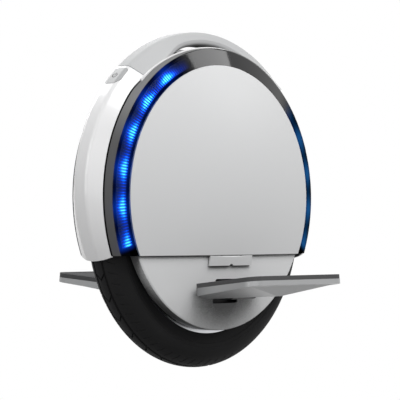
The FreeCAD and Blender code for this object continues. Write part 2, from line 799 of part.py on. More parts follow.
def lower_panel():
    top = LOWER_TOP
    under = top - PANEL_T
    inner = LOWER_R - PANEL_T
    shoulder = LOWER_R - LOWER_ROUND
    edge_y = dome_y(shoulder, top)
    path = [
        (0, under),
        (0, top),
        (shoulder / 2, dome_y(shoulder / 2, top), shoulder, edge_y),
        (LOWER_R - LOWER_ROUND * 0.3, edge_y - LOWER_ROUND * 0.4, LOWER_R, edge_y - LOWER_ROUND * 1.2),
        (LOWER_R, LOWER_EDGE_Y),
        (inner, LOWER_EDGE_Y),
        (inner, dome_y(inner, under)),
        (inner / 2, dome_y(inner / 2, under), 0, under),
    ]
    panel = turned(path, LOWER_Z)
    panel = panel.cut(block(-FAR, FAR, -FAR, FAR, SEAM_Z - SEAM_GAP / 2, FAR))
    panel = panel.cut(slot_block(SLOT_HALF, HINGE_Z - SLOT_DROP, HINGE_Z + SLOT_RISE, SLOT_ROUND))
    ears = []
    y, z = flap_hinge()
    base = dome_y(LOWER_Z - z, top) - PANEL_T / 2
    for side in (-1, 1):
        x = side * FLAP_NOTCH_X
        barrel = rod_x(FLAP_EAR_R, x - FLAP_EAR_HALF, x + FLAP_EAR_HALF, y, z)
        stem = block(x - FLAP_EAR_HALF, x + FLAP_EAR_HALF, base, y, z - FLAP_EAR_R, z + FLAP_EAR_R)
        ears.append(barrel.fuse(stem))
    panel = panel.fuse(ears).removeSplitter()
    return panel.cut(rod_x(FLAP_PIN_R + RUNNING, -FLAP_HALF, FLAP_HALF, y, z))


# Battery latch flap, hinged behind its rounded top edge
def flap_hinge():
    z = SEAM_Z - SEAM_GAP / 2 - SMALL - FLAP_BARREL_R
    y = dome_y(BODY_Z - z) - FLAP_BARREL_R
    return y, z


def latch_flap():
    y, z = flap_hinge()
    low = z + FLAP_BARREL_R - FLAP_HEIGHT
    plate = dome_disc(PANEL_R, DOME_Y, FLAP_T, BODY_Z)
    plate = plate.common(block(-FLAP_HALF, FLAP_HALF, 0, FAR, low, z))
    brow = rod_x(FLAP_BARREL_R, -FLAP_HALF, FLAP_HALF, y, z).common(block(-FAR, FAR, y, FAR, 0, FAR))
    brow = brow.common(dome_solid(PANEL_R, DOME_Y, BODY_Z))
    barrel = rod_x(FLAP_EAR_R, -FLAP_HALF, FLAP_HALF, y, z)
    flap = plate.fuse([brow, barrel]).removeSplitter()
    gap = FLAP_EAR_HALF + FLAP_GAP
    cuts = [rod_x(FLAP_PIN_R + RUNNING, -FAR, FAR, y, z)]
    reach = FLAP_EAR_R + FLAP_GAP
    for side in (-1, 1):
        x = side * FLAP_NOTCH_X
        cuts.append(block(x - gap, x + gap, 0, y + reach, z - reach, FAR))
    nick = rod_y(FLAP_NICK_HALF, 0, FAR, 0, low - FLAP_NICK_HALF * 0.55)
    cuts.append(nick)
    return flap.cut(Part.makeCompound(cuts))


def latch_pins():
    y, z = flap_hinge()
    return both_sides(rod_x(FLAP_PIN_R, -FLAP_HALF + SMALL, FLAP_HALF - SMALL, y, z))


# White shell, handle core and grip sleeve, lofted through sections square to the body circle
def hood_section(angle, crown, shoulder, rounding, edge, half, low, corner):
    """Closed section in the plane at an angle about the body centre, from radius and y."""
    a = math.radians(angle)

    def place(r, y):
        return Vec(r * math.cos(a), y, BODY_Z + r * math.sin(a))

    run = math.atan2(half - shoulder, crown - edge)
    turn = math.pi / 2 - run
    cut = rounding * math.tan(turn / 2)
    side = (crown - cut * math.cos(run), shoulder + cut * math.sin(run))
    top = (crown, shoulder - cut)
    mid_r = crown - rounding + rounding * math.cos(turn / 2)
    mid_y = shoulder - cut + rounding * math.sin(turn / 2)
    bite = corner * (1 - math.sqrt(0.5))
    path = [
        (low, -half + corner),
        (low, half - corner),
        (low + bite, half - bite, low + corner, half),
        (edge, half),
        side,
        (mid_r, mid_y) + top,
        (crown, -top[1]),
        (mid_r, -mid_y, side[0], -side[1]),
        (edge, -half),
        (low + corner, -half),
        (low + bite, -half + bite, low, -half + corner),
    ]
    return wire_of(path, place)


def shell_edge(angle):
    """Radius and half width of the shell's edge, which swings out over the ring near the handle."""
    edge = min(RING_R, rim_radius(angle))
    share = min(1.0, max(0.0, (angle - SWING_START) / (SHELL_END - SWING_START)))
    half = SHELL_HALF + (SHELL_EDGE_MAX - SHELL_HALF) * share ** 2 * (3 - 2 * share)
    return edge, half


def shell_crown(angle):
    fall = max(0.0, (TAPER_START - angle) / (TAPER_START - TAPER_END))
    return CROWN_R - CROWN_TAPER * fall ** 2


def shell_sections(wall, depth):
    wires = []
    for angle in SHELL_ANGLES:
        edge, half = shell_edge(angle)
        crown = shell_crown(angle)
        low = edge - depth
        wires.append(hood_section(angle, crown - wall, SHOULDER_HALF - wall / 3, SHOULDER_ROUND - wall,
                                  edge - wall / 2, half - wall * 0.8, low, SHELL_CORNER))
    return wires


def front_shell_blank():
    outer = Part.makeLoft(shell_sections(0.0, SHELL_FOOT), True)
    inner = Part.makeLoft(shell_sections(SHELL_WALL, 5 * SHELL_FOOT), True)
    shell = outer.cut(inner)
    half = SHELL_EDGE_MAX + 1
    lip = [(-half, -FAR), (-half, SEAM_Z), (0, SEAM_Z - LIP_DROP, half, SEAM_Z), (half, -FAR)]
    cut = prism(lip, lambda y, z: Vec(0, y, z), Vec(FAR, 0, 0))
    return shell.cut(cut)


def radial(angle):
    a = math.radians(angle)
    return Vec(math.cos(a), 0, math.sin(a)), Vec(-math.sin(a), 0, math.cos(a))


def roof_pad(angle, grow, low, high):
    """Rounded trapezoid block standing on the crown at an angle, narrower at its lower end."""
    out, along = radial(angle)
    centre = Vec(0, 0, BODY_Z)

    def place(s, y):
        return centre + out * low + along * s + Vec(0, y, 0)

    end = BUTTON_LENGTH / 2 + grow
    half = BUTTON_HALF + grow
    path = [
        (-end, -half + BUTTON_TAPER),
        (-end * 0.45, -half),
        (end, -half),
        (end, half),
        (-end * 0.45, half),
        (-end, half - BUTTON_TAPER),
    ]
    solid = prism(path, place, out * (high - low))
    uprights = [e for e in solid.Edges if abs(e.tangentAt(e.FirstParameter).dot(out)) > 0.99]
    return solid.makeFillet(BUTTON_ROUND, uprights)


def roof_solid(rise):
    """Space under the shell's roof near the button, raised by a little."""
    wires = []
    for angle in SHELL_ANGLES[-5:]:
        edge, half = shell_edge(angle)
        wires.append(hood_section(angle, CROWN_R + rise, SHOULDER_HALF, SHOULDER_ROUND,
                                  edge + rise, half, edge - ROOF_REACH, SHELL_CORNER))
    return Part.makeLoft(wires, True)


def front_shell():
    hole = roof_pad(BUTTON_ANGLE, BUTTON_GAP, CROWN_R - ROOF_REACH, CROWN_R + ROOF_REACH)
    return front_shell_blank().cut(hole)


def rear_shell():
    return mirrored_front(front_shell())


def power_button():
    low = CROWN_R - BUTTON_DEPTH
    pad = roof_pad(BUTTON_ANGLE, 0.0, low, CROWN_R + ROOF_REACH)
    return pad.common(roof_solid(BUTTON_PROUD))


def switch_top():
    return CROWN_R - BUTTON_DEPTH - BUTTON_TRAVEL - SMALL


def button_switch():
    out, along = radial(BUTTON_ANGLE)
    top = switch_top()
    body_top = top - 1.0
    plate_top = body_top - SWITCH_H
    half = SWITCH_SIZE / 2
    centre = Vec(0, 0, BODY_Z)
    edge, width = shell_edge(BUTTON_ANGLE)
    run = (width - SHOULDER_HALF) / (CROWN_R - edge)
    reach = width - SHELL_WALL * 1.5 - (plate_top - edge) * run

    def slab(half_s, half_y, low, high):
        path = [(-half_s, -half_y), (half_s, -half_y), (half_s, half_y), (-half_s, half_y)]
        return prism(path, lambda s, y: centre + out * low + along * s + Vec(0, y, 0), out * (high - low))

    plate = slab(half, reach, plate_top - SWITCH_PLATE_T, plate_top)
    body = slab(half, half, plate_top, body_top)
    plunger = Part.makeCylinder(half / 2, 1.0, centre + out * body_top, out)
    return plate.fuse([body, plunger]).removeSplitter()


def cap_hinge():
    """Distance below the cap's centre and radius of the charging cap's hinge line."""
    return BUTTON_LENGTH / 2 - CAP_BARREL_R, CROWN_R - CAP_BARREL_R


def cap_axis():
    out, along = radial(BUTTON_ANGLE)
    drop, radius = cap_hinge()
    return Vec(0, 0, BODY_Z) + out * radius - along * drop


def cap_rod(radius, y0, y1):
    return Part.makeCylinder(radius, y1 - y0, cap_axis() + Vec(0, y0, 0), Vec(0, 1, 0))


def cap_slab(s0, s1, y0, y1, low, high):
    """Block on the roof at the cap's place, from its length, width and radius."""
    out, along = radial(BUTTON_ANGLE)
    path = [(s0, y0), (s1, y0), (s1, y1), (s0, y1)]
    place = lambda s, y: Vec(0, y, BODY_Z) + out * low + along * s
    return prism(path, place, out * (high - low))


def charge_inlet():
    out, along = radial(BUTTON_ANGLE)
    top = CROWN_R - CAP_T - SMALL
    low = top - INLET_DEPTH - INLET_FLOOR
    body = roof_pad(BUTTON_ANGLE, -SMALL, low, top)
    drop, radius = cap_hinge()
    ears = []
    for y0 in (CAP_BARREL_HALF + SMALL, -CAP_BARREL_HALF - SMALL - CAP_EAR_T):
        y1 = y0 + CAP_EAR_T
        stem = cap_slab(-drop - CAP_EAR_R, -drop + CAP_EAR_R, y0, y1, top - 1.0, radius)
        ears.append(stem.fuse(cap_rod(CAP_EAR_R, y0, y1)))
    body = body.fuse(ears).removeSplitter()
    bore = Part.makeCylinder(INLET_R, FAR, Vec(0, 0, BODY_Z) + out * (top - INLET_DEPTH), out)
    return mirrored_front(body.cut([bore, cap_rod(CAP_PIN_R + RUNNING, -FAR, FAR)]))


def charge_cap():
    drop, radius = cap_hinge()
    pad = roof_pad(BUTTON_ANGLE, -CAP_HINGE_GAP + BUTTON_GAP, CROWN_R - CAP_T, CROWN_R + ROOF_REACH)
    pad = pad.common(roof_solid(BUTTON_PROUD / 4))
    start = -drop + CAP_EAR_R + SMALL * 2
    plate = pad.common(cap_slab(start, FAR, -FAR, FAR, 0, FAR))
    neck = pad.common(cap_slab(-drop, FAR, -CAP_BARREL_HALF, CAP_BARREL_HALF, 0, FAR))
    barrel = cap_rod(CAP_BARREL_R, -CAP_BARREL_HALF, CAP_BARREL_HALF)
    cap = plate.fuse([neck, barrel]).removeSplitter()
    return mirrored_front(cap.cut(cap_rod(CAP_PIN_R + RUNNING, -FAR, FAR)))


def cap_pin():
    half = CAP_BARREL_HALF + SMALL + CAP_EAR_T
    return mirrored_front(cap_rod(CAP_PIN_R, -half, half))


def handle_sections(inset):
    """Sections of the grip from end to end: full shell width at its ends, a slim bar in the middle."""
    wires = []
    low_mid = CROWN_R - HANDLE_T
    front = ((GRIP_START, 0.0),) + HANDLE_FLARE
    rear = tuple((HALF_TURN - angle, share) for angle, share in reversed(front[:-1]))
    for angle, share in front + rear:
        edge, half = shell_edge(min(angle, HALF_TURN - angle))
        low = edge - 2 * SHELL_FOOT
        mid_edge = CROWN_R - HANDLE_T * 0.55
        edge = edge + (mid_edge - edge) * share
        half = half + (HANDLE_HALF - half) * share
        low = low + (low_mid - low) * share
        corner = 1.5 + 4.0 * share
        rounding = SHOULDER_ROUND * (1 - 0.55 * share)
        shoulder = SHOULDER_HALF - inset / 3 - share
        under = max(SHELL_CORNER, corner - inset)
        wires.append(hood_section(angle, CROWN_R - inset, shoulder, rounding - inset * 0.7,
                                  edge - inset / 2, half - inset, low + inset, under))
    return wires


def handle_core():
    bar = Part.makeLoft(handle_sections(SLEEVE_T), True)
    outer = rim_radius(FOOT_START) - 2 * SHELL_FOOT + SLEEVE_T + 1.0
    half = SHELL_EDGE_MAX - 2 * SLEEVE_T
    path = [(0, -half), (outer, -half), (outer, half), (0, half)]
    foot = turned(path, BODY_Z, FOOT_START, FOOT_END - FOOT_START)
    foot = foot.cut(rod_y(LINER_R + SMALL, -FAR, FAR, 0, AXLE_Z))
    return bar.fuse([foot, mirrored_front(foot)]).removeSplitter()


def grip_sleeve():
    outer = Part.makeLoft(handle_sections(0.0), True)
    return outer.cut(handle_core())


# Pedals, their hangers and pins
def pedal_place(x, y, z):
    """Point of the pedal, from its root line and top face, tilted up outwards."""
    t = math.radians(PEDAL_TILT)
    out = PEDAL_ROOT_Y + y * math.cos(t) - z * math.sin(t)
    up = PEDAL_ROOT_Z + y * math.sin(t) + z * math.cos(t)
    return Vec(x, out, up)


def pedal_normal():
    return pedal_place(0, 0, 1) - pedal_place(0, 0, 0)


def pedal_outline(inset, z, height):
    """Prism on the pedal's outline, drawn in by an inset, from z up by a height."""
    root = PEDAL_ROOT_HALF - inset
    tip = PEDAL_TIP_HALF - inset
    near = inset
    far = PEDAL_DEPTH - inset
    path = [(-root, near), (-tip, far), (tip, far), (root, near)]
    solid = prism(path, lambda x, y: pedal_place(x, y, z), pedal_normal() * height)
    n = pedal_normal()
    uprights = [e for e in solid.Edges if abs(e.tangentAt(e.FirstParameter).dot(n)) > 0.99]
    mid = pedal_place(0, PEDAL_DEPTH / 2, 0).y
    tips = [e for e in uprights if e.CenterOfMass.y > mid]
    roots = [e for e in uprights if e.CenterOfMass.y < mid]
    solid = solid.makeFillet(PEDAL_TIP_ROUND - inset, tips)
    n_roots = [e for e in solid.Edges if any(e.CenterOfMass.isEqual(r.CenterOfMass, 1e-4) for r in roots)]
    return solid.makeFillet(PEDAL_ROOT_ROUND, n_roots)


def hinge_notch():
    half = LUG_HALF + LUG_GAP
    reach = HINGE_Y + LUG_R + LUG_GAP
    return block(-half, half, 0, reach, 0, FAR)


def band_depth(y):
    share = y / PEDAL_DEPTH
    return PAD_T + BAND_ROOT + (BAND_TIP - BAND_ROOT) * share


def pedal_plate():
    deep = PAD_T + BAND_ROOT + 2
    plate = pedal_outline(0.0, -deep, deep - PAD_T)
    end = 2 * PEDAL_DEPTH
    wedge = [(0, -band_depth(0)), (0, -FAR), (end, -FAR), (end, -band_depth(end))]
    below = prism(wedge, lambda y, z: pedal_place(-FAR, y, z), Vec(2 * FAR, 0, 0))
    plate = plate.cut(below)
    keel = pedal_keel()
    body = plate.fuse(keel).removeSplitter()
    body = body.cut(hinge_notch())
    return body.cut(rod_x(PIN_R + RUNNING, -FAR, PIN_HALF + SMALL, HINGE_Y, HINGE_Z))


def pedal_keel():
    """Faceted underside: a flat root that narrows to a low point near the outer edge."""
    side_half = PEDAL_ROOT_HALF + (PEDAL_TIP_HALF - PEDAL_ROOT_HALF) * KEEL_SIDE_Y / PEDAL_DEPTH - KEEL_INSET
    out_y = PEDAL_DEPTH - KEEL_OUT_INSET
    rise = BAND_TIP / 2
    ring = [(PEDAL_ROOT_HALF - KEEL_INSET, KEEL_INSET), (side_half, KEEL_SIDE_Y), (KEEL_OUT_HALF, out_y)]
    right = [(x, y, -band_depth(y)) for x, y in ring] + [(x, y, -band_depth(y) + rise) for x, y in ring]
    right += [(KEEL_ROOT_HALF, KEEL_INSET, -KEEL_ROOT_DEPTH), (KEEL_TIP_HALF, KEEL_TIP_Y, -KEEL_TIP_DEPTH)]
    left = [(-x, y, z) for x, y, z in right]
    points = [pedal_place(*p) for p in right + left]
    b, t, f, b2, t2, f2, a, v = range(8)
    bl, tl, fl, b2l, t2l, f2l, al, vl = range(8, 16)
    faces = [
        (b2, t2, f2, f2l, t2l, b2l),
        (b, b2, b2l, bl),
        (b, t, t2, b2),
        (t, f, f2, t2),
        (f, fl, f2l, f2),
        (bl, b2l, t2l, tl),
        (tl, t2l, f2l, fl),
        (a, b, bl, al),
        (a, al, vl, v),
        (a, t, b),
        (a, v, t),
        (t, v, f),
        (al, bl, tl),
        (al, tl, vl),
        (tl, fl, vl),
        (f, v, vl, fl),
    ]
    return polyhedron(points, faces)


def pedal_pad():
    pad = pedal_outline(0.4, -PAD_T, PAD_T)
    outer = pedal_outline(PAD_GROOVE_INSET, -PAD_GROOVE_DEPTH, PAD_T)
    inner = pedal_outline(PAD_GROOVE_INSET + PAD_GROOVE_WIDTH, -PAD_T, 3 * PAD_T)
    return pad.cut(outer.cut(inner)).cut(hinge_notch())


def hanger_bolt_points():
    x = HANGER_HALF - BOLT_INSET
    z = HANGER_RISE - BOLT_INSET
    return [(sx * x, HINGE_Z + sz * z) for sx in (-1, 1) for sz in (-1, 1)]


def pedal_hanger():
    base_y = FRAME_OUT + HANGER_T
    base = block(-HANGER_HALF, HANGER_HALF, FRAME_OUT, base_y, HINGE_Z - HANGER_RISE, HINGE_Z + HANGER_RISE)
    uprights = [e for e in base.Edges if abs(e.tangentAt(e.FirstParameter).y) > 0.99]
    base = base.makeFillet(BOLT_INSET, uprights)
    lug = block(-LUG_HALF, LUG_HALF, FRAME_OUT, HINGE_Y, HINGE_Z - LUG_R, HINGE_Z + LUG_R)
    nose = rod_x(LUG_R, -LUG_HALF, LUG_HALF, HINGE_Y, HINGE_Z)
    hanger = base.fuse([lug, nose]).removeSplitter()
    cuts = [rod_x(PIN_R + RUNNING, -FAR, FAR, HINGE_Y, HINGE_Z)]
    cuts += [rod_y(BOLT_R + SEAT, 0, FAR, x, z) for x, z in hanger_bolt_points()]
    return hanger.cut(Part.makeCompound(cuts))


def pedal_pins():
    return both_sides(rod_x(PIN_R, -PIN_HALF, PIN_HALF, HINGE_Y, HINGE_Z))


def hanger_bolts():
    bolts = []
    base_y = FRAME_OUT + HANGER_T
    for x, z in hanger_bolt_points():
        shank = rod_y(BOLT_R, WELL_HALF, base_y, x, z)
        head = rod_y(BOLT_HEAD_R, base_y, base_y + BOLT_HEAD_H, x, z)
        bolts.append(shank.fuse(head).removeSplitter())
    return Part.makeCompound(bolts + [mirrored(b) for b in bolts])


# Battery packs and the control board
def battery_pack():
    pack = block(-PACK_HALF, PACK_HALF, FRAME_OUT + SEAT, FAR, BODY_Z + PACK_LOW, BODY_Z + PACK_HIGH)
    uprights = [e for e in pack.Edges if abs(e.tangentAt(e.FirstParameter).y) > 0.99]
    pack = pack.makeFillet(BOSS_R, uprights)
    return pack.common(dome_solid(PANEL_R - PANEL_GAP, DOME_Y - PANEL_T - PACK_GAP, BODY_Z))


def board_radius():
    """Radius of the heat sink's foot, standing on the liner below the front shell."""
    s = BODY_RISE * math.sin(math.radians(BOARD_ANGLE))
    outer = LINER_R
    return -s + math.sqrt(s ** 2 + outer ** 2 - BODY_RISE ** 2) + SMALL


def board_slab(half_s, half_y, low, high, shift_s=0.0, shift_y=0.0):
    out, along = radial(BOARD_ANGLE)
    centre = Vec(0, 0, BODY_Z)
    path = [
        (shift_s - half_s, shift_y - half_y),
        (shift_s + half_s, shift_y - half_y),
        (shift_s + half_s, shift_y + half_y),
        (shift_s - half_s, shift_y + half_y),
    ]
    return prism(path, lambda s, y: centre + out * low + along * s + Vec(0, y, 0), out * (high - low))


def heat_sink():
    foot = board_radius()
    base = board_slab(BOARD_LENGTH / 2, BOARD_HALF, foot + SINK_H, foot + SINK_H + SINK_BASE)
    fins = []
    for i in range(SINK_FINS):
        y = -BOARD_HALF + SINK_FIN_T / 2 + i * (2 * BOARD_HALF - SINK_FIN_T) / (SINK_FINS - 1)
        fins.append(board_slab(BOARD_LENGTH / 2, SINK_FIN_T / 2, foot - SINK_H, foot + SINK_H, 0.0, y))
    sink = base.fuse(fins).removeSplitter()
    return sink.cut(rod_y(LINER_R + SMALL, -FAR, FAR, 0, AXLE_Z))


def control_board():
    low = board_radius() + SINK_H + SINK_BASE
    top = low + BOARD_T
    board = board_slab(BOARD_LENGTH / 2, BOARD_HALF, low, top)
    out, along = radial(BOARD_ANGLE)
    pieces = []
    for i in range(CAPACITORS):
        s = (i - (CAPACITORS - 1) / 2) * 3 * CAPACITOR_R
        foot = Vec(0, 0, BODY_Z) + out * top + along * s
        pieces.append(Part.makeCylinder(CAPACITOR_R, CAPACITOR_H - 4, foot, out))
    return board.fuse(pieces).removeSplitter()


def build():
    parts = {
        "tyre": tyre(),
        "inner_tube": inner_tube(),
        "wheel_rim": screw_holes_in_rim(wheel_rim()),
        "valve_stem": valve(),
        "rotor_magnets": rotor_magnets(),
        "motor_cover_screws": motor_cover_screws(),
        "stator_core": stator_core(),
        "stator_windings": stator_windings(),
        "stator_hub": stator_hub(),
        "axle": axle(),
        "bearing_inner_races": bearing_inner_races(),
        "bearing_outer_races": bearing_outer_races(),
        "bearing_balls": bearing_balls(),
        "axle_washers": axle_washers(),
        "axle_nuts": axle_nuts(),
        "wheel_liner": wheel_liner(),
        "front_shell": front_shell(),
        "rear_shell": rear_shell(),
        "handle_core": handle_core(),
        "grip_sleeve": grip_sleeve(),
        "power_button": power_button(),
        "button_switch": button_switch(),
        "charge_inlet": charge_inlet(),
        "charge_cap": charge_cap(),
        "charge_cap_pin": cap_pin(),
        "latch_pins": latch_pins(),
        "pedal_pins": pedal_pins(),
        "hanger_bolts": hanger_bolts(),
        "heat_sink": heat_sink(),
        "control_board": control_board(),
    }
    sided = {
        "side_frame": side_frame,
        "light_ring": light_ring,
        "well_rail": well_rail,
        "light_guide": light_guide,
        "led_strip": led_strip,
        "upper_panel": upper_panel,
        "lower_panel": lower_panel,
        "latch_flap": latch_flap,
        "pedal_plate": pedal_plate,
        "pedal_pad": pedal_pad,
        "pedal_hanger": pedal_hanger,
        "battery_pack": battery_pack,
    }
    for name, make in sided.items():
        left = make()
        parts[name + "_left"] = left
        parts[name + "_right"] = mirrored(left)
    left_cover = motor_cover()
    side_hole = rod_y(VALVE_R + SEAT, 0, FAR, 0, AXLE_Z - VALVE_BEND_R)
    parts["motor_cover_left"] = left_cover.cut(side_hole)
    parts["motor_cover_right"] = mirrored(left_cover)
    return parts


os.makedirs("parts", exist_ok=True)
for node, solid in build().items():
    solid.exportStep("parts/" + node + ".step")
    state = "valid" if solid.isValid() else "NOT VALID"
    print(node, len(solid.Solids), "solids", state, round(solid.Volume / 1000, 2), "cm3")
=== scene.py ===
# %% [markdown]
# # Electric unicycle
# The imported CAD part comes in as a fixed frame: every rigid piece already has its shape and its place.
# The steps below add what a solid model leaves plain: tread, ribs, a printed sign, finishes and light.

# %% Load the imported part
import json
import math

import bmesh
import bpy
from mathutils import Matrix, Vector


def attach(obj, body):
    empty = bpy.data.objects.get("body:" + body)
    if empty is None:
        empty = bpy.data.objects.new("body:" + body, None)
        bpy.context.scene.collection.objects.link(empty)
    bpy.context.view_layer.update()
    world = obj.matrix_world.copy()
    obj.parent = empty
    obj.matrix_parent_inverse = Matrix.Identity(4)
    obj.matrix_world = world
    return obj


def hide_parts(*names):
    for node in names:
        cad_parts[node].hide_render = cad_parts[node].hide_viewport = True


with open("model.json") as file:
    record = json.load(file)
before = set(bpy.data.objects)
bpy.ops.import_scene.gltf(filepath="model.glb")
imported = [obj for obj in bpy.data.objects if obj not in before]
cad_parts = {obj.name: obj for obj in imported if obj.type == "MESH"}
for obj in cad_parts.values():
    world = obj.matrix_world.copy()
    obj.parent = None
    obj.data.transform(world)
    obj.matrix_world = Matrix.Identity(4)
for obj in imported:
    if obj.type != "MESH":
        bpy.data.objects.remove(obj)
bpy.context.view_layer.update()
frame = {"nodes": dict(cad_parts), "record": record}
slot_of = {s["node"]: s["material_slot"] for s in frame["record"]["subparts"]}
print("nodes loaded:", len(frame["nodes"]))

# %% [markdown]
# ## Places shared by the steps
# Two sideways lines order the whole object. The wheel turns about the lower one, the axle, and its sizes are
# read from the tyre in the frame, so they can't drift from the CAD part. The round body has its centre
# a little higher, and its panels, rings and lamps are laid out about that.
# All sizes are in metres. Angles are in degrees, counted upwards from straight ahead.

# %% Shared places
tyre_box = [Vector(corner) for corner in frame["nodes"]["tyre"].bound_box]
TYRE_R = max(corner.x for corner in tyre_box)
TYRE_HALF = max(corner.y for corner in tyre_box)
AXLE_Z = sum(corner.z for corner in tyre_box) / len(tyre_box)
BODY_Z = 0.239
PANEL_R = 0.183
print("axle at", round(AXLE_Z, 4), "body centre at", BODY_Z)

# %% [markdown]
# ## Plain finishes
# Plastic, rubber and metal are never perfectly even. One function makes them all from the same recipe:
# a base colour, a fine bump for the grain of the mould and a slow change in roughness for handling wear.
# Some pieces stand so close to others that little light gets in between. Lamps alone show this too weakly
# in a bright studio, so the shade is painted into the colour: an ambient occlusion node measures how open
# each place is within a reach, and the colour is darkened from a clear place to a closed one. A lift tilts
# the measure upwards, which finds what hangs over a surface, as the pedal hangs over the lower panel,
# so that the pedal's shadow is painted on the panel.

# %% Shade between close pieces
DARKEST = 0.12


def shaded(tree, colour, reach, lift, closed, clear):
    """Base colour with painted shade, darker where other pieces stand close."""
    face = tree.nodes.new("ShaderNodeNewGeometry")
    raised = tree.nodes.new("ShaderNodeVectorMath")
    raised.inputs[1].default_value = (0, 0, lift)
    openness = tree.nodes.new("ShaderNodeAmbientOcclusion")
    openness.inputs["Distance"].default_value = reach
    depth = tree.nodes.new("ShaderNodeMapRange")
    for socket, number in (("From Min", closed), ("From Max", clear), ("To Min", DARKEST), ("To Max", 1.0)):
        depth.inputs[socket].default_value = number
    tone = tree.nodes.new("ShaderNodeVectorMath")
    tone.operation = "SCALE"
    tone.inputs[0].default_value = colour
    tree.links.new(face.outputs["Normal"], raised.inputs[0])
    tree.links.new(raised.outputs[0], openness.inputs["Normal"])
    tree.links.new(openness.outputs["AO"], depth.inputs[0])
    tree.links.new(depth.outputs[0], tone.inputs["Scale"])
    return tone.outputs[0]


print("shade goes down to", DARKEST)

# %% Finish function
WEAR_SCALE = 14
GRAIN_DETAIL = 3
GRAIN_DEPTH = 0.0004
COAT_ROUGH = 0.08
SMOOTHEST = 0.02
looks = {}


def finish(name, colour, rough, metal=0.0, coat=0.0, grain=400.0, bump=0.05, wear=0.06, shine=0.5,
           shade=None):
    """Material with grain and wear, and with painted shade where a shade is given, kept in looks under its
    name.
    """
    mat = bpy.data.materials.new(name)
    mat.use_nodes = True
    nodes, links = mat.node_tree.nodes, mat.node_tree.links
    bsdf = nodes["Principled BSDF"]
    bsdf.inputs["Base Color"].default_value = (*colour, 1)
    bsdf.inputs["Metallic"].default_value = metal
    bsdf.inputs["Coat Weight"].default_value = coat
    bsdf.inputs["Coat Roughness"].default_value = COAT_ROUGH
    bsdf.inputs["Specular IOR Level"].default_value = shine
    place = nodes.new("ShaderNodeTexCoord")
    fine = nodes.new("ShaderNodeTexNoise")
    fine.inputs["Scale"].default_value = grain
    fine.inputs["Detail"].default_value = GRAIN_DETAIL
    broad = nodes.new("ShaderNodeTexNoise")
    broad.inputs["Scale"].default_value = WEAR_SCALE
    links.new(place.outputs["Object"], fine.inputs["Vector"])
    links.new(place.outputs["Object"], broad.inputs["Vector"])
    spread = nodes.new("ShaderNodeMapRange")
    spread.inputs["To Min"].default_value = max(SMOOTHEST, rough - wear)
    spread.inputs["To Max"].default_value = min(1.0, rough + wear)
    links.new(broad.outputs["Fac"], spread.inputs["Value"])
    links.new(spread.outputs["Result"], bsdf.inputs["Roughness"])
    rise = nodes.new("ShaderNodeBump")
    rise.inputs["Strength"].default_value = bump
    rise.inputs["Distance"].default_value = GRAIN_DEPTH
    links.new(fine.outputs["Fac"], rise.inputs["Height"])
    links.new(rise.outputs["Normal"], bsdf.inputs["Normal"])
    if shade:
        links.new(shaded(mat.node_tree, colour, **shade), bsdf.inputs["Base Color"])
    looks[name] = mat


print("finish recipe ready")

# %% [markdown]
# ## Finishes of the outside
# What can be seen is white gloss plastic on the shells, pale satin panels, a grey silicone sleeve,
# black rubber, and cast metal with a thin coat of paint on the pedals. Each call gives a colour
# and a roughness first, and then only what sets that surface apart.

# %% Finishes of the outside
finish("tyre_rubber", (0.014, 0.014, 0.0145), 0.66, bump=0.3, grain=900, shine=0.09)
finish("rim_alloy", (0.62, 0.63, 0.65), 0.3, metal=1.0)
finish("black_plastic", (0.006, 0.006, 0.007), 0.8, bump=0.03, shine=0.06)
finish("shell_white", (0.82, 0.82, 0.825), 0.24, coat=0.4, bump=0.01, shine=0.4)
finish("grip_silicone", (0.5, 0.505, 0.51), 0.6, bump=0.08, shine=0.3)
finish("button_grey", (0.4, 0.405, 0.41), 0.4, bump=0.03)
finish("panel_upper", (0.72, 0.725, 0.73), 0.4, bump=0.02, shine=0.3)
# The lower panel gets a painted shadow where the pedal hangs over it.
finish("panel_lower", (0.82, 0.825, 0.83), 0.35, bump=0.02, shine=0.3,
       shade={"reach": 0.09, "lift": 2.5, "closed": 0.18, "clear": 0.3})
# The pedal gets painted shade on its underside, where it comes close to the body and the tyre.
finish("pedal_metal", (0.42, 0.425, 0.43), 0.3, metal=0.1, bump=0.02, shine=0.4,
       shade={"reach": 0.12, "lift": 0.0, "closed": 0.42, "clear": 0.8})
finish("pedal_rubber", (0.085, 0.085, 0.087), 0.8, bump=0.3, grain=700, shine=0.2)
finish("hanger_steel", (0.008, 0.008, 0.009), 0.5, shine=0.3)
print("finishes so far:", len(looks))

# %% [markdown]
# ## Finishes of the inside
# The motor, the bearings, the batteries and the board are hidden, but they are real pieces and someone may
# open the part up. Plain metals, a wrapped pack and a green board tell them apart.

# %% Finishes of the inside
finish("tube_rubber", (0.02, 0.02, 0.02), 0.7)
finish("bright_steel", (0.5, 0.5, 0.51), 0.32, metal=1.0)
finish("magnet", (0.6, 0.6, 0.62), 0.25, metal=1.0)
finish("lamination", (0.12, 0.125, 0.13), 0.5, metal=0.8)
finish("copper", (0.5, 0.18, 0.07), 0.35, metal=1.0)
finish("hub_alloy", (0.4, 0.41, 0.43), 0.45, metal=1.0)
finish("board", (0.01, 0.07, 0.03), 0.45)
finish("battery_wrap", (0.01, 0.04, 0.12), 0.35)
print("plain finishes:", len(looks))

# %% [markdown]
# ## Places in a material
# Two finishes change with the place on the ring: the lens and the light behind it.
# A painted image could hold that, but it would blur close up. Here small helpers work out the distance from
# the body centre and the angle about it from the Object coordinates, so the change stays sharp at any size.
# The rear half mirrors the front half, so the sign of X is dropped.

# %% Node helpers
def math_node(tree, kind, first, second=None):
    """One sum in a node tree. Each value is a number or a socket."""
    node = tree.nodes.new("ShaderNodeMath")
    node.operation = kind
    for socket, value in zip(node.inputs, (first, second)):
        if value is None:
            continue
        if isinstance(value, (int, float)):
            socket.default_value = value
        else:
            tree.links.new(value, socket)
    return node.outputs[0]


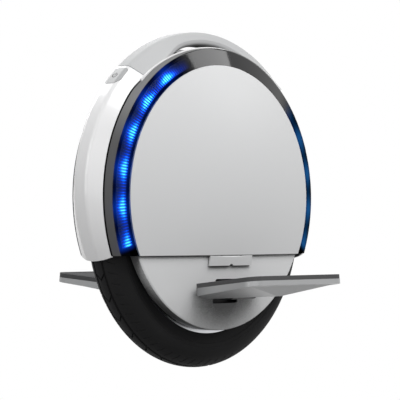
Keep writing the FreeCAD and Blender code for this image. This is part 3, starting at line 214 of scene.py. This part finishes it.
def ramp(tree, value, low, high, at_low, at_high):
    """Soft change from at_low to at_high while the value goes from low to high."""
    node = tree.nodes.new("ShaderNodeMapRange")
    node.interpolation_type = "SMOOTHSTEP"
    for name, number in (("From Min", low), ("From Max", high), ("To Min", at_low), ("To Max", at_high)):
        node.inputs[name].default_value = number
    tree.links.new(value, node.inputs["Value"])
    return node.outputs["Result"]


def place_on(tree, axis):
    """One Object coordinate."""
    place = tree.nodes.new("ShaderNodeTexCoord")
    parts = tree.nodes.new("ShaderNodeSeparateXYZ")
    tree.links.new(place.outputs["Object"], parts.inputs[0])
    return parts.outputs[axis]


def around_body(tree):
    """Distance from the body centre and angle about it."""
    x = math_node(tree, "ABSOLUTE", place_on(tree, "X"))
    z = math_node(tree, "SUBTRACT", place_on(tree, "Z"), BODY_Z)
    squares = math_node(tree, "ADD", math_node(tree, "MULTIPLY", x, x), math_node(tree, "MULTIPLY", z, z))
    distance = math_node(tree, "SQRT", squares)
    angle = math_node(tree, "DEGREES", math_node(tree, "ARCTAN2", z, x))
    return distance, angle


print("node helpers ready")

# %% [markdown]
# ## Light of the guides
# Six lamps shine into each ribbed guide. The light is strongest over a lamp and weaker between two lamps,
# where it also reaches less far out, so that each lamp makes a small fan. It fades towards both ends.
# At the rear the lit part ends lower. One level from 0 to 1 says all this, and the lens uses it again.

# %% Glow level
LAMP_FIRST, LAMP_PITCH = -20.1, 15.4
GUIDE_START, GUIDE_END, REAR_END = -21.0, 76.0, 50.0
BETWEEN_LAMPS, AT_INNER_EDGE, AT_OUTER_EDGE = 0.3, 0.35, 0.03
INNER_FROM, INNER_TO = PANEL_R + 0.003, PANEL_R + 0.0075
OUTER_FROM, OUTER_TO, FAN = 0.5, 1.1, 0.5
UPPER_FROM, UPPER_TO = -21.0, -3.0
LOWER_FROM, LOWER_TO = GUIDE_START - 2.0, GUIDE_START + 1.0


def guide_height(tree, top_angle):
    """Angle up the ring, raised at the rear so that its lit part ends lower than at the front."""
    _, angle = around_body(tree)
    rear = math_node(tree, "LESS_THAN", place_on(tree, "X"), 0.0)
    return math_node(tree, "ADD", angle, math_node(tree, "MULTIPLY", rear, top_angle - REAR_END))


def glow_level(tree, top_angle, reach):
    """Light that ends at a top angle and reaches a given way out from the panel's edge."""
    distance, angle = around_body(tree)
    step = math_node(tree, "DIVIDE", math_node(tree, "SUBTRACT", angle, LAMP_FIRST), LAMP_PITCH)
    off = math_node(tree, "ABSOLUTE", math_node(tree, "SUBTRACT", step, math_node(tree, "ROUND", step)))
    fan = math_node(tree, "ADD", distance, math_node(tree, "MULTIPLY", off, FAN * reach))
    height = guide_height(tree, top_angle)
    light = ramp(tree, off, 0.0, 0.5, 1.0, BETWEEN_LAMPS)
    for fade in (
        ramp(tree, distance, INNER_FROM, INNER_TO, AT_INNER_EDGE, 1.0),
        ramp(tree, fan, PANEL_R + OUTER_FROM * reach, PANEL_R + OUTER_TO * reach, 1.0, AT_OUTER_EDGE),
        ramp(tree, height, top_angle + UPPER_FROM, top_angle + UPPER_TO, 1.0, 0.0),
        ramp(tree, angle, LOWER_FROM, LOWER_TO, 0.0, 1.0),
    ):
        light = math_node(tree, "MULTIPLY", light, fade)
    return light


print("lamp angles:", [round(LAMP_FIRST + LAMP_PITCH * i, 1) for i in range(6)])

# %% [markdown]
# ## Light guide finish
# The colour follows the strength of the light, from deep blue to cyan, by a colour ramp.
# The ribs catch much more light than the bed between them, so both get the same finish at two levels.
# Higher up the ribs are seen closer together, so they shine more there and the bed less, to keep them apart.

# %% Light guide finish
GLOW_STOPS = (
    (0.0, (0.0, 0.0005, 0.006)),
    (0.3, (0.0, 0.016, 0.24)),
    (0.55, (0.0, 0.11, 0.7)),
    (0.9, (0.05, 0.5, 1.0)),
)
GUIDE_REACH = 0.0168
CHANGE_FROM, CHANGE_TO = 15.0, 60.0


def glow_colour(tree, light):
    """Colour for a level of light."""
    colours = tree.nodes.new("ShaderNodeValToRGB")
    stops = colours.color_ramp.elements
    while len(stops) < len(GLOW_STOPS):
        stops.new(0.5)
    for stop, (at, colour) in zip(stops, GLOW_STOPS):
        stop.position = at
        stop.color = (*colour, 1)
    tree.links.new(light, colours.inputs["Fac"])
    return colours.outputs["Color"]


def lit_guide(name, low, high):
    """Dark plastic that glows, at one level low on the ring and at another high on it."""
    mat = bpy.data.materials.new(name)
    mat.use_nodes = True
    tree = mat.node_tree
    bsdf = tree.nodes["Principled BSDF"]
    bsdf.inputs["Base Color"].default_value = (0.002, 0.003, 0.008, 1)
    bsdf.inputs["Roughness"].default_value = 0.3
    light = glow_level(tree, GUIDE_END, GUIDE_REACH)
    tree.links.new(glow_colour(tree, light), bsdf.inputs["Emission Color"])
    _, angle = around_body(tree)
    tree.links.new(ramp(tree, angle, CHANGE_FROM, CHANGE_TO, low, high), bsdf.inputs["Emission Strength"])
    return mat


looks["light_blue"] = lit_guide("light_blue", 0.9, 0.3)
rib_light = lit_guide("light_rib", 4.8, 11.0)
print("light guides ready")

# %% [markdown]
# ## Smoked lens
# The ring over the lights is a dark moulding. Its wide band is polished and shows the lamps of the room.
# Its outer bevel is satin, with a dark line of painted shade where it meets the white shell, and a painted
# reflection makes it lighter higher up. In front of the lit guide it is clear, and beyond the guide it is
# backed with black. True refraction would be slow and grainy in so thin a lens, so a transparent shader
# lets the guide through, and the shaders are mixed by the place on the ring.

# %% Shader helpers
def mixed(tree, share, first, second):
    """First shader, with the second one over it by a share."""
    node = tree.nodes.new("ShaderNodeMixShader")
    for socket, value in zip(node.inputs, (share, first, second)):
        tree.links.new(value, socket)
    return node.outputs[0]


def added(tree, first, second):
    """Sum of two shaders."""
    node = tree.nodes.new("ShaderNodeAddShader")
    for socket, value in zip(node.inputs, (first, second)):
        tree.links.new(value, socket)
    return node.outputs[0]


def glowing(tree, colour, strength):
    """Light of one colour, as strong as a socket says."""
    node = tree.nodes.new("ShaderNodeEmission")
    node.inputs["Color"].default_value = (*colour, 1)
    tree.links.new(strength, node.inputs["Strength"])
    return node.outputs[0]


print("shader helpers ready")

# %% Satin bevel
SEAM_Y = 0.0282
SWING_START, SWING_END, SWING_Y = 40.5, 49.7, 0.00185
LINE_FROM, LINE_TO, SEAM_SHADE_DARK = SEAM_Y + 0.0012, SEAM_Y + 0.002, 0.05
PAINTED_REFLECTION_FROM, PAINTED_REFLECTION_TO = 18.0, 40.0
BEVEL_LOW, BEVEL_PAINTED_REFLECTION = 0.13, 0.25


def satin_bevel(tree):
    """Grey, lighter higher up by a painted reflection, with a painted shade line along the seam that swings
    out by the handle.
    """
    _, angle = around_body(tree)
    swing = ramp(tree, angle, SWING_START, SWING_END, 0.0, SWING_Y)
    past_seam = math_node(tree, "SUBTRACT", math_node(tree, "ABSOLUTE", place_on(tree, "Y")), swing)
    # Painted shade: a dark line in the seam next to the white shell.
    line = ramp(tree, past_seam, LINE_FROM, LINE_TO, SEAM_SHADE_DARK, 1.0)
    # Painted reflection: the satin grey gets lighter higher up on the ring.
    grey = ramp(tree, angle, PAINTED_REFLECTION_FROM, PAINTED_REFLECTION_TO, BEVEL_LOW, BEVEL_PAINTED_REFLECTION)
    satin = tree.nodes.new("ShaderNodeBsdfDiffuse")
    tree.links.new(math_node(tree, "MULTIPLY", line, grey), satin.inputs["Color"])
    return satin.outputs[0]


print("seam line to", LINE_TO)

# %% [markdown]
# ## Clear part of the lens
# Some of the guide's light spreads inside the plastic. Seen straight on it is a deep blue haze.
# At a slant one looks through more plastic: the guide is dimmed, and the edge of the lens glows a paler blue.
# The Layer Weight node tells the two apart.

# %% Clear part of the lens
LENS_REACH = 0.03
LENS_TINT = (0.72, 0.76, 0.82)
HAZE_BLUE = (0.0, 0.012, 0.16)
EDGE_BLUE = (0.02, 0.17, 0.45)
EDGE_POWER, EDGE_LEAST = 3.0, 0.02
SLANT_FROM, SLANT_TO, SLANT_CLEAR = 0.3, 0.7, 0.2


def clear_lens(tree):
    """See-through plastic with the light that spreads in it."""
    slant = tree.nodes.new("ShaderNodeLayerWeight")
    slant.inputs["Blend"].default_value = 0.5
    straight = ramp(tree, slant.outputs["Facing"], SLANT_FROM, SLANT_TO, 1.0, SLANT_CLEAR)
    tint = tree.nodes.new("ShaderNodeVectorMath")
    tint.operation = "SCALE"
    tint.inputs[0].default_value = LENS_TINT
    tree.links.new(straight, tint.inputs["Scale"])
    clear = tree.nodes.new("ShaderNodeBsdfTransparent")
    tree.links.new(tint.outputs[0], clear.inputs["Color"])
    depth = math_node(tree, "ADD", math_node(tree, "POWER", slant.outputs["Facing"], EDGE_POWER), EDGE_LEAST)
    low_light = glow_level(tree, REAR_END, LENS_REACH)
    all_light = glow_level(tree, GUIDE_END, LENS_REACH)
    edge = glowing(tree, EDGE_BLUE, math_node(tree, "MULTIPLY", depth, low_light))
    haze = glowing(tree, HAZE_BLUE, math_node(tree, "MULTIPLY", all_light, straight))
    return added(tree, clear.outputs[0], added(tree, edge, haze))


print("light reaches", LENS_REACH, "into the lens")

# %% Whole lens
RING_CREASE_R = 0.207
CREASE_FROM, CREASE_TO = RING_CREASE_R - 0.0008, RING_CREASE_R + 0.0004
BEVEL_SHARE = 0.85
WINDOW_FADE = 14.0


def smoked_lens():
    """Polished black band with a clear part over the lights, and a satin bevel outside its crease."""
    mat = bpy.data.materials.new("smoked_lens")
    mat.use_nodes = True
    tree = mat.node_tree
    black = tree.nodes["Principled BSDF"]
    black.inputs["Base Color"].default_value = (0.006, 0.006, 0.007, 1)
    black.inputs["Roughness"].default_value = 0.06
    black.inputs["IOR"].default_value = 1.36
    window = ramp(tree, guide_height(tree, GUIDE_END), GUIDE_END - WINDOW_FADE, GUIDE_END, 1.0, 0.0)
    band = mixed(tree, window, black.outputs[0], clear_lens(tree))
    distance, _ = around_body(tree)
    bevel = ramp(tree, distance, CREASE_FROM, CREASE_TO, 0.0, BEVEL_SHARE)
    whole = mixed(tree, bevel, band, satin_bevel(tree))
    tree.links.new(whole, tree.nodes["Material Output"].inputs["Surface"])
    return mat


looks["smoked_lens"] = smoked_lens()
for node, obj in frame["nodes"].items():
    obj.data.materials.clear()
    obj.data.materials.append(looks[slot_of[node]])
print("dressed nodes:", len(frame["nodes"]))

# %% [markdown]
# ## Repeating a shape about a sideways line
# Tread blocks and light ribs are the same idea: one small shape, turned step by step about a line.
# A Geometry Nodes tree does this. It makes points at the turning centre, gives each its own turn,
# puts the shape on every point and makes the copies real, so that the export keeps them.
# The modifier's inputs carry the count, the first angle, the step and the height of the line.

# %% Turning tree
WELD = 1e-5


def turning_tree(material):
    """Geometry Nodes tree that turns copies of its input about a sideways line."""
    tree = bpy.data.node_groups.new("turned_copies", "GeometryNodeTree")
    face = tree.interface
    face.new_socket("Geometry", in_out="INPUT", socket_type="NodeSocketGeometry")
    face.new_socket("Count", in_out="INPUT", socket_type="NodeSocketInt")
    for name in ("First", "Step", "Height"):
        face.new_socket(name, in_out="INPUT", socket_type="NodeSocketFloat")
    face.new_socket("Geometry", in_out="OUTPUT", socket_type="NodeSocketGeometry")
    new, link = tree.nodes.new, tree.links.new
    given, end = new("NodeGroupInput"), new("NodeGroupOutput")
    points, index = new("GeometryNodePoints"), new("GeometryNodeInputIndex")
    centre, turn = new("ShaderNodeCombineXYZ"), new("ShaderNodeCombineXYZ")
    euler, copies = new("FunctionNodeEulerToRotation"), new("GeometryNodeInstanceOnPoints")
    real, merge = new("GeometryNodeRealizeInstances"), new("GeometryNodeMergeByDistance")
    paint = new("GeometryNodeSetMaterial")
    merge.inputs["Distance"].default_value = WELD
    paint.inputs["Material"].default_value = material
    steps = math_node(tree, "MULTIPLY", index.outputs[0], given.outputs["Step"])
    angle = math_node(tree, "ADD", steps, given.outputs["First"])
    link(given.outputs["Count"], points.inputs["Count"])
    link(given.outputs["Height"], centre.inputs["Z"])
    link(centre.outputs[0], points.inputs["Position"])
    link(math_node(tree, "MULTIPLY", angle, -1.0), turn.inputs["Y"])
    link(turn.outputs[0], euler.inputs[0])
    link(points.outputs[0], copies.inputs["Points"])
    link(given.outputs["Geometry"], copies.inputs["Instance"])
    link(euler.outputs[0], copies.inputs["Rotation"])
    link(copies.outputs[0], real.inputs[0])
    link(real.outputs[0], merge.inputs[0])
    link(merge.outputs[0], paint.inputs["Geometry"])
    link(paint.outputs[0], end.inputs[0])
    return tree


print("copies weld within", WELD)

# %% Copies and joining
SHARP_ANGLE = 28


def turned_copies(name, points, faces, material, count, first, step, height):
    """Mesh of count copies of a shape drawn about its own centre, turned from +X towards +Z."""
    mesh = bpy.data.meshes.new(name + "_one")
    mesh.from_pydata(points, [], faces)
    obj = bpy.data.objects.new(name + "_one", mesh)
    bpy.context.scene.collection.objects.link(obj)
    tree = turning_tree(material)
    made = obj.modifiers.new("turned", "NODES")
    made.node_group = tree
    values = {"Count": count, "First": math.radians(first), "Step": math.radians(step), "Height": height}
    for item in tree.interface.items_tree:
        if item.in_out == "INPUT" and item.name in values:
            made[item.identifier] = values[item.name]
    whole = bpy.data.meshes.new_from_object(obj.evaluated_get(bpy.context.evaluated_depsgraph_get()))
    bpy.data.objects.remove(obj)
    return whole


def joined(name, meshes, material, smooth=False):
    """One object from several meshes, with its faces turned outwards."""
    shape = bmesh.new()
    for mesh in meshes:
        shape.from_mesh(mesh)
    bmesh.ops.recalc_face_normals(shape, faces=shape.faces)
    for face in shape.faces:
        face.material_index = 0
    mesh = bpy.data.meshes.new(name)
    shape.to_mesh(mesh)
    shape.free()
    mesh.materials.append(material)
    if smooth:
        mesh.shade_smooth()
        mesh.set_sharp_from_angle(angle=math.radians(SHARP_ANGLE))
    obj = bpy.data.objects.new(name, mesh)
    bpy.context.scene.collection.objects.link(obj)
    return obj


print("edges stay sharp above", SHARP_ANGLE, "degrees")

# %% [markdown]
# ## Tyre tread
# The tyre has a groove on each side of its crown, slanted grooves that cross the crown between them,
# short cuts on the shoulders and two steps on the side wall. Cutting grooves with booleans would be slow and
# would leave ragged edges. Instead one pitch is a small grid that leans with the grooves, so that every
# groove edge lies on a grid line and stays crisp. A place across the tyre is measured from its crown,
# and a place around it is a share of the pitch.

# %% Grid lines of the tread
PITCHES = 39
GROOVE_Y, GROOVE_HALF, GROOVE_WALL, GROOVE_DEPTH = 0.008, 0.0008, 0.0008, 0.0022
CROSS_AT, CROSS_HALF, CROSS_DEPTH = 0.5, 0.032, 0.0024
CUT_AT, CUT_HALF, CUT_DEPTH = (0.135, 0.635), 0.017, 0.0014
CUT_FROM, CUT_TO = 0.014, 0.0206
SLOPE = 0.018
NEAR = 1e-6


def groove_lines(middle, half, wall):
    """Grid lines of one groove: the top and the foot of both its walls."""
    return [middle - half - wall, middle - half, middle + half, middle + half + wall]


COLUMNS = [0.0, 0.05, 0.28, 0.38, 0.8, 0.9] + groove_lines(CROSS_AT, CROSS_HALF, SLOPE)
for at in CUT_AT:
    COLUMNS += groove_lines(at, CUT_HALF, SLOPE)
COLUMNS.sort()
CROWN_ROWS = [0.0, 0.002, 0.0045, 0.0116, 0.013, CUT_FROM, 0.0175, CUT_TO, 0.022, 0.0234, 0.025, 0.0262]
CROWN_ROWS = sorted(CROWN_ROWS + groove_lines(GROOVE_Y, GROOVE_HALF, GROOVE_WALL))
print("tread grid:", len(COLUMNS), "columns,", len(CROWN_ROWS), "rows on each side")

# %% Depth and lean of the grooves
LEAN_CROWN, LEAN_SHOULDER, LEAN_SPAN = 0.3, 0.35, 0.015


def cut_depth(u, y):
    """Groove depth at a share u of the pitch and y from the crown."""
    if abs(y - GROOVE_Y) <= GROOVE_HALF + NEAR:
        return GROOVE_DEPTH
    if y < GROOVE_Y and abs(u - CROSS_AT) <= CROSS_HALF + NEAR:
        return CROSS_DEPTH
    if CUT_FROM <= y <= CUT_TO and min(abs(u - at) for at in CUT_AT) <= CUT_HALF + NEAR:
        return CUT_DEPTH
    return 0.0


def lean(y):
    """Share of a pitch by which a groove has turned at y from the crown."""
    if y <= GROOVE_Y:
        return LEAN_CROWN * y / GROOVE_Y
    return LEAN_CROWN - LEAN_SHOULDER * min(1.0, (y - GROOVE_Y) / LEAN_SPAN)


print("grooves lean by", LEAN_CROWN, "of a pitch on the crown")

# %% [markdown]
# ## Section of the tyre
# Each column of the grid is one section: the crown, a side wall with two steps, the bead, and the hollow
# for the tube. Mirrored to the other side it closes into a loop, and loops joined side by side
# make one pitch. Thirty-nine turned copies close into a full tyre, which stands in for the plain one.

# %% Tread pitch
BEAD_R, BEAD_OUT, BEAD_IN = 0.1545, 0.0205, 0.0155
WALL_ROWS = (
    (0.181, 0.02695),
    (0.1775, 0.0269),
    (0.1767, 0.0262),
    (0.172, 0.0254),
    (0.1712, 0.0246),
    (0.165, 0.0232),
    (0.158, 0.0214),
    (BEAD_R, BEAD_OUT),
)
RUBBER = 0.004
HOLLOW_TURN, HOLLOW_STEPS = 128, 6


def tread_section(u):
    """Share of the pitch, radius and y for each point from the crown round to the middle of the hollow."""
    middle_r = TYRE_R - TYRE_HALF
    side = []
    for y in CROWN_ROWS:
        radius = middle_r + math.sqrt(TYRE_HALF ** 2 - y ** 2)
        side.append((u + lean(y), radius - cut_depth(u, y), y))
    side += [(u + lean(CROWN_ROWS[-1]), r, y) for r, y in WALL_ROWS]
    side.append((u, BEAD_R, BEAD_IN))
    inside = TYRE_HALF - RUBBER
    for step in range(HOLLOW_STEPS + 1):
        turn = math.radians(HOLLOW_TURN) * (1 - step / HOLLOW_STEPS)
        side.append((u, middle_r + inside * math.cos(turn), inside * math.sin(turn)))
    return side


def tread_pitch():
    """Points and faces from the first column of a pitch to the first column of the next."""
    sections = [tread_section(u) for u in COLUMNS]
    sections.append([(u + 1, r, y) for u, r, y in tread_section(0.0)])
    points, faces = [], []
    for section in sections:
        mirrored = [(u, r, -y) for u, r, y in section[-2:0:-1]]
        for u, r, y in section + mirrored:
            turn = 2 * math.pi * u / PITCHES
            points.append((r * math.cos(turn), y, r * math.sin(turn)))
    around = len(points) // len(sections)
    for i in range(len(sections) - 1):
        here, there = i * around, (i + 1) * around
        for j in range(around):
            k = (j + 1) % around
            faces.append((here + j, here + k, there + k, there + j))
    return points, faces


pitch_points, pitch_faces = tread_pitch()
print("faces in one pitch:", len(pitch_faces))

# %% Tyre
tread = turned_copies("tyre_tread", pitch_points, pitch_faces, looks["tyre_rubber"],
                      PITCHES, 0.0, 360 / PITCHES, AXLE_Z)
tyre = joined("tyre_tread", [tread], looks["tyre_rubber"], smooth=True)
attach(tyre, "wheel")
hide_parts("tyre")
print("tyre faces:", len(tyre.data.polygons))

# %% [markdown]
# ## Light guide ribs
# The guides are ribbed crosswise, which breaks the lamps' light into fine bright lines. A bump would only
# shade them, and light that comes from the surface itself has no shading, so they are real ridges.
# One rib is a low ridge that follows the slope of the guide's face.
# Turned copies fill the front and the rear of the guide on each side.

# %% Ribs
RIB_PITCH = 1.2
RIB_HALF, RIB_RISE, RIB_SUNK = 0.0007, 0.0008, 0.0004
RIB_LOW, RIB_HIGH = 0.1866, 0.1995
FACE_LOW, FACE_HIGH = 0.0429, 0.0372
RIB_FACES = ((0, 1, 2), (3, 5, 4), (0, 3, 4, 1), (1, 4, 5, 2), (2, 5, 3, 0))
rib_count = int((GUIDE_END - GUIDE_START) / RIB_PITCH)


def rib_points(side):
    """Corners of one rib straight ahead: three at its inner end, then three at its outer end."""
    points = []
    for r, y in ((RIB_LOW, FACE_LOW), (RIB_HIGH, FACE_HIGH)):
        foot, ridge = side * (y - RIB_SUNK), side * (y + RIB_RISE)
        points += [(r, foot, -RIB_HALF), (r, foot, RIB_HALF), (r, ridge, 0)]
    return points


for label, side in (("left", 1), ("right", -1)):
    name = "guide_ribs_" + label
    arcs = []
    for start in (GUIDE_START, 180 - GUIDE_END):
        arcs.append(turned_copies(name, rib_points(side), RIB_FACES, rib_light,
                                  rib_count, start + RIB_PITCH / 2, RIB_PITCH, BODY_Z))
    ribs = joined(name, arcs, rib_light)
    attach(ribs, "housing")
    print("ribs", label, len(ribs.data.polygons) // len(RIB_FACES))

# %% [markdown]
# ## Sign on the power button
# The button carries the usual on and off sign, a ring with a gap and a short bar in the gap.
# It is printed, so it is a thin film laid on the button: flat strips are drawn in the plane that faces
# the button's press direction, and a ray carries every corner down to the button's face.

# %% Place on the button
PRESS_ANGLE = math.radians(44.8)
RAY_START = 0.05
button = frame["nodes"]["power_button"]
out = Vector((math.cos(PRESS_ANGLE), 0, math.sin(PRESS_ANGLE)))
along = Vector((-math.sin(PRESS_ANGLE), 0, math.cos(PRESS_ANGLE)))
corners = [button.matrix_world @ Vector(c) for c in button.bound_box]
button_middle = sum(corners, Vector()) / len(corners)


def on_button(sideways, upward):
    """Point on the button's face."""
    start = button_middle + out * RAY_START + Vector((0, sideways, 0)) + along * upward
    turned = button.matrix_world.inverted()
    spot = button.ray_cast(turned @ start, turned.to_3x3() @ -out)[1]
    return button.matrix_world @ spot


print("button middle:", [round(value, 4) for value in button_middle])

# %% Power sign
SIGN_R, SIGN_LINE, SIGN_FILM = 0.0042, 0.001, 0.00006
SIGN_GAP, SIGN_STEPS = 35, 24
BAR_FROM, BAR_TO = 0.0004, SIGN_R + 0.0006


def strip(pairs):
    """Closed thin film along pairs of corners."""
    flat = [on_button(*spot) for pair in pairs for spot in pair]
    half, last = len(flat), len(flat) - 2
    faces = [(0, 1, half + 1, half), (last, half + last, half + last + 1, last + 1)]
    for i in range(0, last, 2):
        for a, b in ((half + i, half + i + 2), (i + 2, i)):
            faces.append((a, a + 1, b + 1, b))
        faces += [(i, i + 2, half + i + 2, half + i), (i + 1, half + i + 1, half + i + 3, i + 3)]
    mesh = bpy.data.meshes.new("strip")
    mesh.from_pydata(flat + [point + out * SIGN_FILM for point in flat], [], faces)
    return mesh


open_turn = 360 - 2 * SIGN_GAP
turns = [math.radians(90 + SIGN_GAP + open_turn * i / SIGN_STEPS) for i in range(SIGN_STEPS + 1)]
arc = [[(r * math.cos(t), r * math.sin(t)) for r in (SIGN_R - SIGN_LINE, SIGN_R)] for t in turns]
bar = [[(-SIGN_LINE / 2, z), (SIGN_LINE / 2, z)] for z in (BAR_FROM, BAR_TO)]
sign = joined("power_sign", [strip(arc), strip(bar)], looks["black_plastic"])
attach(sign, "button")
print("power sign faces:", len(sign.data.polygons))

# %% [markdown]
# ## Studio
# The object stands on a white floor in a white room. If floor and room also lit it at full strength, pale
# surfaces would lose their shading. The Light Path node splits this: both are white to the camera, in
# reflections and through the lens, but for light that falls on the object the floor is grey and the room dim.

# %% Floor and surround
FLOOR_SIZE = 12
FLOOR_GREY = 0.22
ROOM_LIGHT = 0.12


def seen_directly(tree):
    """One where a ray comes from the camera, a reflection or a see-through surface."""
    rays = tree.nodes.new("ShaderNodeLightPath")
    first = math_node(tree, "MAXIMUM", rays.outputs["Is Camera Ray"], rays.outputs["Is Glossy Ray"])
    return math_node(tree, "MAXIMUM", first, rays.outputs["Is Transmission Ray"])


def floor_finish():
    """White where it is seen, grey for the light that it throws back."""
    mat = bpy.data.materials.new("floor_white")
    mat.use_nodes = True
    tree = mat.node_tree
    tree.nodes.clear()
    end = tree.nodes.new("ShaderNodeOutputMaterial")
    glow = tree.nodes.new("ShaderNodeEmission")
    glow.inputs["Color"].default_value = (1, 1, 1, 1)
    glow.inputs["Strength"].default_value = 1
    matt = tree.nodes.new("ShaderNodeBsdfDiffuse")
    matt.inputs["Color"].default_value = (FLOOR_GREY, FLOOR_GREY, FLOOR_GREY, 1)
    whole = mixed(tree, seen_directly(tree), matt.outputs[0], glow.outputs[0])
    tree.links.new(whole, end.inputs["Surface"])
    return mat


bpy.ops.mesh.primitive_plane_add(size=FLOOR_SIZE, location=(0, 0, 0))
floor = bpy.context.object
floor.name = "floor"
floor.data.materials.append(floor_finish())

world = bpy.data.worlds.new("surround")
bpy.context.scene.world = world
world.use_nodes = True
sky = world.node_tree.nodes["Background"]
sky.inputs["Color"].default_value = (1, 1, 1, 1)
level = ramp(world.node_tree, seen_directly(world.node_tree), 0, 1, ROOM_LIGHT, 1.0)
world.node_tree.links.new(level, sky.inputs["Strength"])
print("studio floor and surround")

# %% [markdown]
# ## Lamps
# Large soft lamps give pale plastic its slow shading, as the softboxes of a product photo do. The top lamp
# does most of the work and makes the panel fall off downwards. Fill and front lift the side that is seen.
# The key stands where the polished top of the ring reflects it. The far lamp lights the side
# that the camera doesn't see.

# %% Lamps
MIDDLE = (0, 0, 0.25)
LAMPS = {
    "key": {"place": (-2.0, 1.45, 1.7), "size": (0.9, 1.6), "power": 20},
    "front": {"place": (2.4, -0.3, 0.9), "size": (1.2, 1.6), "power": 17},
    "fill": {"place": (1.9, 1.8, 0.9), "size": (3.0, 1.6), "power": 15},
    "top": {"place": (0.2, 1.6, 2.5), "size": (2.2, 1.4), "power": 55},
    "far": {"place": (-0.5, -1.9, 1.7), "size": (2.2, 1.4), "power": 34},
}


def softbox(name, place, size, power):
    """Rectangular lamp that looks at the middle of the object."""
    data = bpy.data.lights.new(name, "AREA")
    data.shape = "RECTANGLE"
    data.size, data.size_y = size
    data.energy = power
    obj = bpy.data.objects.new(name, data)
    bpy.context.scene.collection.objects.link(obj)
    obj.location = place
    obj.rotation_euler = (Vector(MIDDLE) - Vector(place)).to_track_quat("-Z", "Y").to_euler()


for name, values in LAMPS.items():
    softbox(name, **values)
print("lamps placed:", len(LAMPS))

# %% [markdown]
# ## Camera
# A long lens, level with the lower half of the body, looks from the front left quarter.
# The long distance keeps the wheel and the rings as round as they are. The camera's place is worked out
# from its turn about the object, so that it can be walked round by changing one angle.

# %% Camera
CAMERA_TURN, CAMERA_RISE = math.radians(132.42), math.radians(-0.70)
CAMERA_FAR = 3.0
AIM_ACROSS, AIM_UP = 0.00438, 0.23485
eye = bpy.data.cameras.new("camera")
eye.sensor_width = 36
eye.lens = 191.84
cam = bpy.data.objects.new("camera", eye)
bpy.context.scene.collection.objects.link(cam)
level_way = Vector((math.sin(CAMERA_TURN), -math.cos(CAMERA_TURN), 0))
back = level_way * math.cos(CAMERA_RISE) + Vector((0, 0, math.sin(CAMERA_RISE)))
across = Vector((math.cos(CAMERA_TURN), math.sin(CAMERA_TURN), 0))
target = across * AIM_ACROSS + Vector((0, 0, AIM_UP))
cam.location = target + back * CAMERA_FAR
cam.rotation_mode = "QUATERNION"
cam.rotation_quaternion = (-back).to_track_quat("-Z", "Y")
bpy.context.scene.camera = cam
bpy.context.scene.view_settings.view_transform = "Standard"
print("camera at", [round(value, 3) for value in cam.location])
